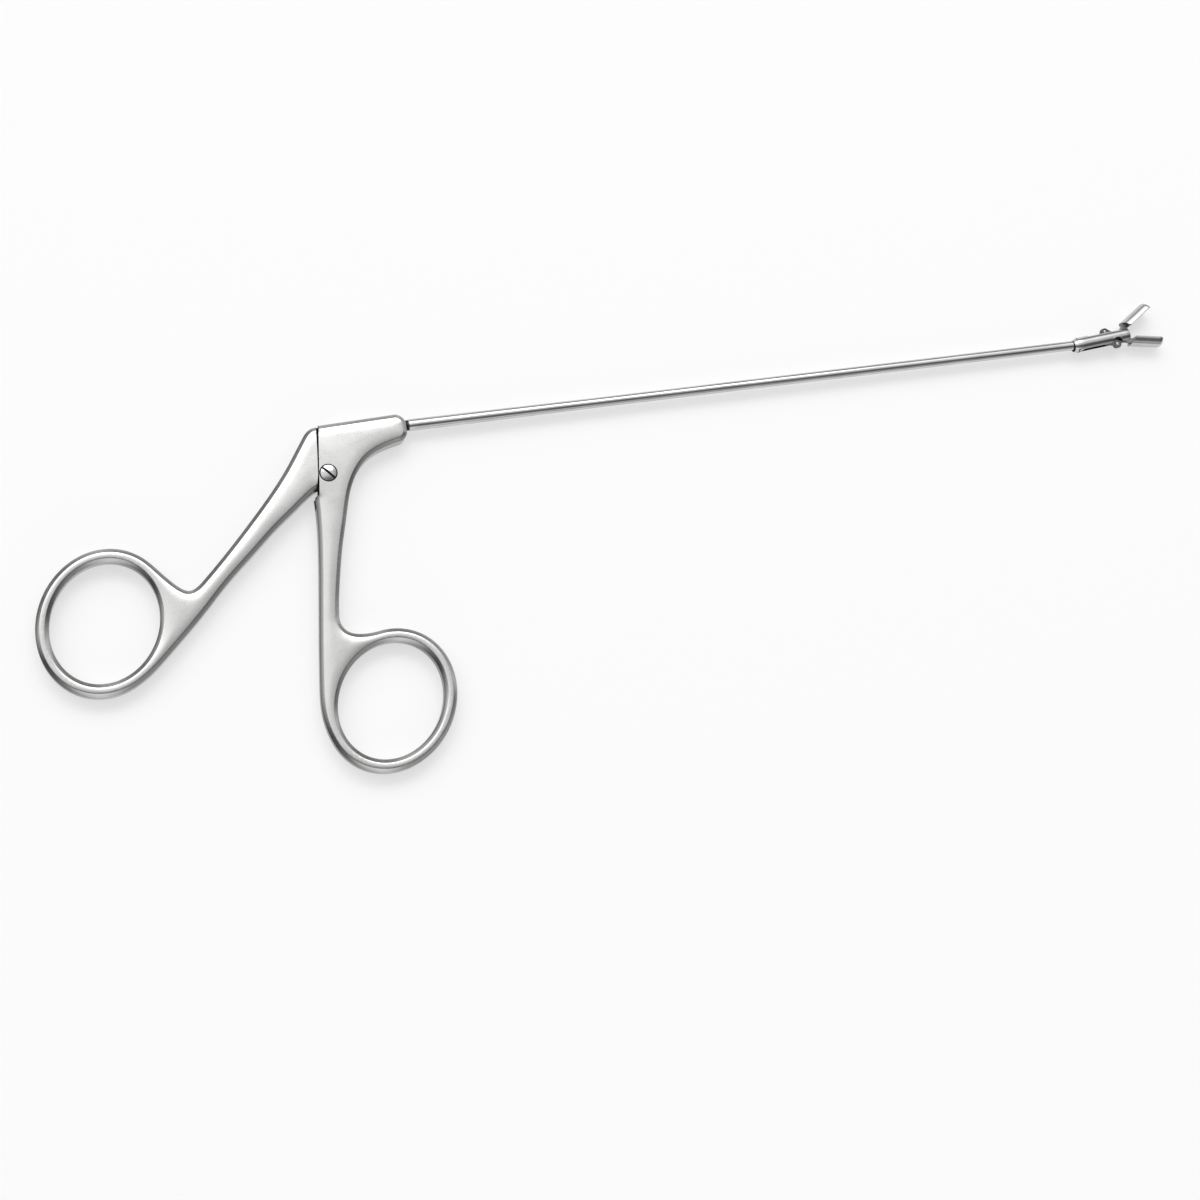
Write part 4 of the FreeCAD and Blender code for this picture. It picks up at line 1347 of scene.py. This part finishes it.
@dataclass
class Linkage:
    """Tongue on the rod's end, the two links that it pulls, and their pins; shade is the painted shade on tongue
    and links.
    """

    tip: Tip = field(default_factory=Tip)
    tongue_pin: tuple[float, float] = (6.2, 0.0)
    eye_r: float = 0.95
    half: float = 0.6
    pin_r: float = 0.4
    collar_r: float = 0.95
    collar_from: float = 2.6
    collar_long: float = 1.9
    plate: float = 0.5
    gap: float = 0.05
    shade: float = 0.8

    def layer(self, n: int) -> tuple[float, float]:
        """Lower and upper height of one of the four plates in the fork, from -2 (far) to +1 (near)."""
        low = n * (self.plate + self.gap) + self.gap / 2
        return low, low + self.plate

    def tongue(self) -> bpy.types.Object:
        """Round collar and the flat with a round end."""
        r, start, end = self.collar_r, self.collar_from, self.collar_from + self.collar_long
        section = [(start, 0), (start, r - 0.08), (start + 0.08, r), (end, r), (end + 0.03, r - 0.03),
                   (end + 0.03, 0)]
        collar = self.tip.object("rod_tongue_milled", [turned(section, 48)])
        nose = arc(self.tongue_pin, r, -90, 90)
        line = np.concatenate([[(end - 0.3, r - 0.02)], [(end - 0.3, -r + 0.02)], nose * (1, 0.99)])
        half = self.plate + self.gap / 2
        flat = self.tip.object("rod_tongue_flat", slab(line, -half, half, 0.04))
        carved(collar, [flat], Carving.JOIN)
        # Painted shade over the whole tongue.
        carry(smooth(collar, 30), "cavity", np.full(len(collar.data.polygons), self.shade), Domain.FACE)
        return finished(collar, GROUND, Slot.BRIGHT, "rod", "rod_tongue")

    def link(self, name: str, to: tuple[float, float], n: int) -> bpy.types.Object:
        """Flat link from the tongue's pin to a jaw's tail.

        Args:
            name: the node, which is also the body.
            to: where the jaw's tail pin stands.
            n: the link's layer in the fork.

        Returns:
            The link.
        """
        a, b = np.array(self.tongue_pin), np.array(to)
        line = dumbbell(a, b, self.eye_r, self.eye_r, self.half)
        plate = slab(line, *self.layer(n), 0.05, [hole(a, self.pin_r + 0.04), hole(b, self.pin_r)])
        piece = smooth(self.tip.object(name + "_plate", plate), 30)
        # Painted shade over the whole link.
        carry(piece, "cavity", np.full(len(piece.data.polygons), self.shade), Domain.FACE)
        return finished(piece, GROUND, Slot.BRIGHT, name, name)

    def pin(self, node: str, body: str, at: tuple[float, float], low: float, high: float) -> bpy.types.Object:
        """Pin with slightly domed ends, turned about its own line.

        Args:
            node: the node that it stands for.
            body: the body that carries it.
            at: where it stands in the housing's frame.
            low: height of its lower end.
            high: height of its upper end.

        Returns:
            The pin.
        """
        r = self.pin_r
        section = [(low, 0.0), (low + 0.01, r * 0.6), (low + 0.04, r - 0.03), (low + 0.08, r), (high - 0.08, r),
                   (high - 0.04, r - 0.03), (high - 0.01, r * 0.6), (high, 0.0)]
        points, faces = turned(section, 40)
        upright = np.stack([at[0] + points[:, 1], at[1] + points[:, 2], points[:, 0]], 1)
        piece = smooth(self.tip.object(node + "_turned", [(upright, faces)]), 40)
        return finished(piece, TURNED, Slot.BRIGHT, body, node)

    def build(self, above: tuple[float, float], below: tuple[float, float]) -> None:
        """Makes and dresses the tongue, both links and the three small pins."""
        self.tongue()
        self.link("upper_link", above, -2)
        self.link("lower_link", below, 1)
        reach = 2 * self.plate + 1.5 * self.gap + 0.03
        self.pin("rod_tongue_pin", "rod", self.tongue_pin, -reach, reach)
        self.pin("upper_link_pin", "upper_link", above, self.layer(-2)[0] - 0.03, self.layer(-1)[1])
        self.pin("lower_link_pin", "lower_link", below, self.layer(0)[0], self.layer(1)[1] + 0.03)


@dataclass
class Hidden:
    """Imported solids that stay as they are, with a steel of their own."""

    nodes: tuple[str, ...] = ("drive_rod", "rod_ball", "jaw_pivot_pin")

    def build(self, shown: dict[str, bpy.types.Object]) -> None:
        """Gives each node its steel."""
        for node in self.nodes:
            for slot in shown[node].material_slots:
                slot.material = TURNED.material()
            LOG.info("%s keeps its solid", node)


# Studio

@dataclass
class Studio:
    """Pale floor, soft light from above and the camera at the photograph's viewing angle.

    The dome's ramps were set so that the greys across stem, head and tube come near those of the
    photograph from this camera. floor_glow is the floor's share of white card.
    """

    floor_z: float = -2.5
    floor_size: float = 60000.0
    floor_colour: tuple[float, float, float] = (0.94, 0.94, 0.94)
    camera_at: tuple[float, float, float] = (-75.888, -106.645, 413.367)
    camera_turn: tuple[float, float, float] = (11.0, -13.2, -10.7394)
    lens: float = 60.0
    sensor: float = 36.0
    dome_level: float = 1.4
    dome_y: tuple[tuple[float, float], ...] = (
        (-180, 0.6), (-110, 0.7), (-90, 0.8), (-62, 0.8), (-48, 0.15), (-20, 0.14), (-10, 0.35), (1, 0.72),
        (10, 0.8), (21, 0.82), (28, 1.1), (36, 1.8), (50, 1.8), (64, 0.8), (80, 0.35), (180, 0.6))
    dome_x: tuple[tuple[float, float], ...] = (
        (-180, 0.5), (-90, 0.42), (-66, 0.42), (-50, 1.05), (-12, 1.15), (2, 1.0), (10, 0.9), (18, 0.86),
        (27, 0.9), (37, 0.55), (50, 0.4), (90, 0.45), (180, 0.5))
    floor_glow: float = 0.55
    lamp_at: tuple[float, float, float] = (90.0, 640.0, 920.0)
    lamp_size: tuple[float, float] = (900.0, 420.0)
    lamp_power: float = 2.6
    lamp_aim: tuple[float, float, float] = (60.0, -20.0, 0.0)

    def floor(self) -> None:
        """Flat matt floor that the instrument lies on, white to the camera and in reflections."""
        h, z = self.floor_size / 2, self.floor_z
        corners = np.array([[[-h, -h, z], [h, -h, z]], [[-h, h, z], [h, h, z]]])
        floor = make_object("studio_floor", [sheet(corners)])
        paper = bpy.data.materials.new("studio_paper")
        paper.use_nodes = True
        shader = paper.node_tree.nodes["Principled BSDF"]
        shader.inputs["Base Color"].default_value = (*self.floor_colour, 1)
        shader.inputs["Roughness"].default_value = 0.9
        shader.inputs["Specular IOR Level"].default_value = 0.1
        self.lit(paper.node_tree, shader)
        floor.data.materials.append(paper)
        if floor.data.polygons[0].normal.z < 0:
            floor.data.flip_normals()

    def lit(self, tree: bpy.types.NodeTree, shader: bpy.types.Node) -> None:
        """Lets the camera and reflections see the floor as part white card, part shadowed paper."""
        rays = tree.nodes.new("ShaderNodeLightPath")
        share = None
        for name in ("Is Camera Ray", "Is Glossy Ray", "Is Transmission Ray"):
            step = tree.nodes.new("ShaderNodeMath")
            step.operation = "MULTIPLY_ADD"
            step.inputs[1].default_value = self.floor_glow
            step.inputs[2].default_value = 0.0
            tree.links.new(rays.outputs[name], step.inputs[0])
            if share:
                tree.links.new(share, step.inputs[2])
            share = step.outputs[0]
        glow = tree.nodes.new("ShaderNodeEmission")
        mix = tree.nodes.new("ShaderNodeMixShader")
        tree.links.new(share, mix.inputs["Fac"])
        tree.links.new(shader.outputs["BSDF"], mix.inputs[1])
        tree.links.new(glow.outputs["Emission"], mix.inputs[2])
        tree.links.new(mix.outputs["Shader"], tree.nodes["Material Output"].inputs["Surface"])

    def world(self) -> None:
        """Soft dome whose level is the product of two ramps, over the tilt towards Y and towards X.

        A direction's tilt is its angle from straight up, seen along X for the first ramp and along Y for
        the second: atan2(y, z) and atan2(x, z).
        """
        world = bpy.data.worlds.new("studio_dome")
        bpy.context.scene.world = world
        world.use_nodes = True
        tree = world.node_tree
        where = tree.nodes.new("ShaderNodeTexCoord")
        parts = tree.nodes.new("ShaderNodeSeparateXYZ")
        tree.links.new(where.outputs["Generated"], parts.inputs["Vector"])
        product = tree.nodes.new("ShaderNodeMath")
        product.operation = "MULTIPLY"
        for index, (axis, stops) in enumerate((("Y", self.dome_y), ("X", self.dome_x))):
            tilt = tree.nodes.new("ShaderNodeMath")
            tilt.operation = "ARCTAN2"
            tree.links.new(parts.outputs[axis], tilt.inputs[0])
            tree.links.new(parts.outputs["Z"], tilt.inputs[1])
            share = tree.nodes.new("ShaderNodeMath")
            share.operation = "MULTIPLY_ADD"
            share.inputs[1].default_value = 0.5 / math.pi
            share.inputs[2].default_value = 0.5
            ramp = tree.nodes.new("ShaderNodeValToRGB")
            ramp.color_ramp.interpolation = "EASE"
            elements = ramp.color_ramp.elements
            while len(elements) < len(stops):
                elements.new(0.5)
            for element, (angle, level) in zip(elements, stops):
                element.position = 0.5 + angle / 360
                element.color = (level, level, level, 1)
            tree.links.new(tilt.outputs[0], share.inputs[0])
            tree.links.new(share.outputs[0], ramp.inputs["Fac"])
            tree.links.new(ramp.outputs["Color"], product.inputs[index])
        sky = tree.nodes["Background"]
        sky.inputs["Strength"].default_value = self.dome_level
        tree.links.new(product.outputs[0], sky.inputs["Color"])
        card = tree.nodes.new("ShaderNodeBackground")
        card.inputs["Color"].default_value = (1, 1, 1, 1)
        rays = tree.nodes.new("ShaderNodeLightPath")
        mix = tree.nodes.new("ShaderNodeMixShader")
        tree.links.new(rays.outputs["Is Camera Ray"], mix.inputs["Fac"])
        tree.links.new(sky.outputs["Background"], mix.inputs[1])
        tree.links.new(card.outputs["Background"], mix.inputs[2])
        tree.links.new(mix.outputs["Shader"], tree.nodes["World Output"].inputs["Surface"])

    def lamp(self) -> None:
        """Soft rectangular lamp that faces the instrument."""
        data = bpy.data.lights.new("softbox", "AREA")
        data.shape = "RECTANGLE"
        data.size, data.size_y = self.lamp_size[0] * MM, self.lamp_size[1] * MM
        data.energy = self.lamp_power
        lamp = bpy.data.objects.new("softbox", data)
        lamp.location = Vector(self.lamp_at) * MM
        aim = Vector(self.lamp_aim) * MM
        lamp.rotation_euler = (lamp.location - aim).to_track_quat("Z", "Y").to_euler()
        bpy.context.scene.collection.objects.link(lamp)

    def camera(self) -> None:
        """Camera at the place and angle that the photograph was taken from."""
        data = bpy.data.cameras.new("viewpoint")
        data.lens, data.sensor_width = self.lens, self.sensor
        data.clip_start, data.clip_end = 0.01, 100.0
        camera = bpy.data.objects.new("viewpoint", data)
        camera.location = Vector(self.camera_at) * MM
        camera.rotation_euler = Euler([math.radians(a) for a in self.camera_turn], "XYZ")
        bpy.context.scene.collection.objects.link(camera)
        bpy.context.scene.camera = camera

    def build(self) -> None:
        """Sets up floor, dome, lamp and camera."""
        bpy.context.scene.view_settings.view_transform = "Standard"
        self.floor()
        self.world()
        self.lamp()
        self.camera()


def tail_point(radius: float, angle: float) -> tuple[float, float]:
    """Where a jaw's tail pin stands in the housing's frame, from the pivot by a radius and an angle."""
    a = math.radians(angle)
    return JAW_PIVOT[0] + radius * math.cos(a), JAW_PIVOT[1] + radius * math.sin(a)


def main(frame: dict) -> None:
    """Builds the studio and every sub-assembly in order.

    Args:
        frame: the loaded frame, with its objects by node.
    """
    Studio().build()
    FrontHandle().build()
    RearHandle().build()
    PivotScrew().build()
    Shaft().build()
    JawHousing().build()
    linkage = Linkage()
    above, below = tail_point(3.3, 180 - 35.0), tail_point(2.1, 180 + 58.5)
    CupJaw("upper_jaw", 1, 27.5, below, linkage.layer(0)).build()
    CupJaw("lower_jaw", -1, -13.5, above, linkage.layer(-1)).build()
    linkage.build(above, below)
    Hidden().build(frame["nodes"])


if __name__ == "__main__":
    logging.basicConfig(level=logging.INFO, format="%(name)s: %(message)s")
    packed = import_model()
    main(packed)
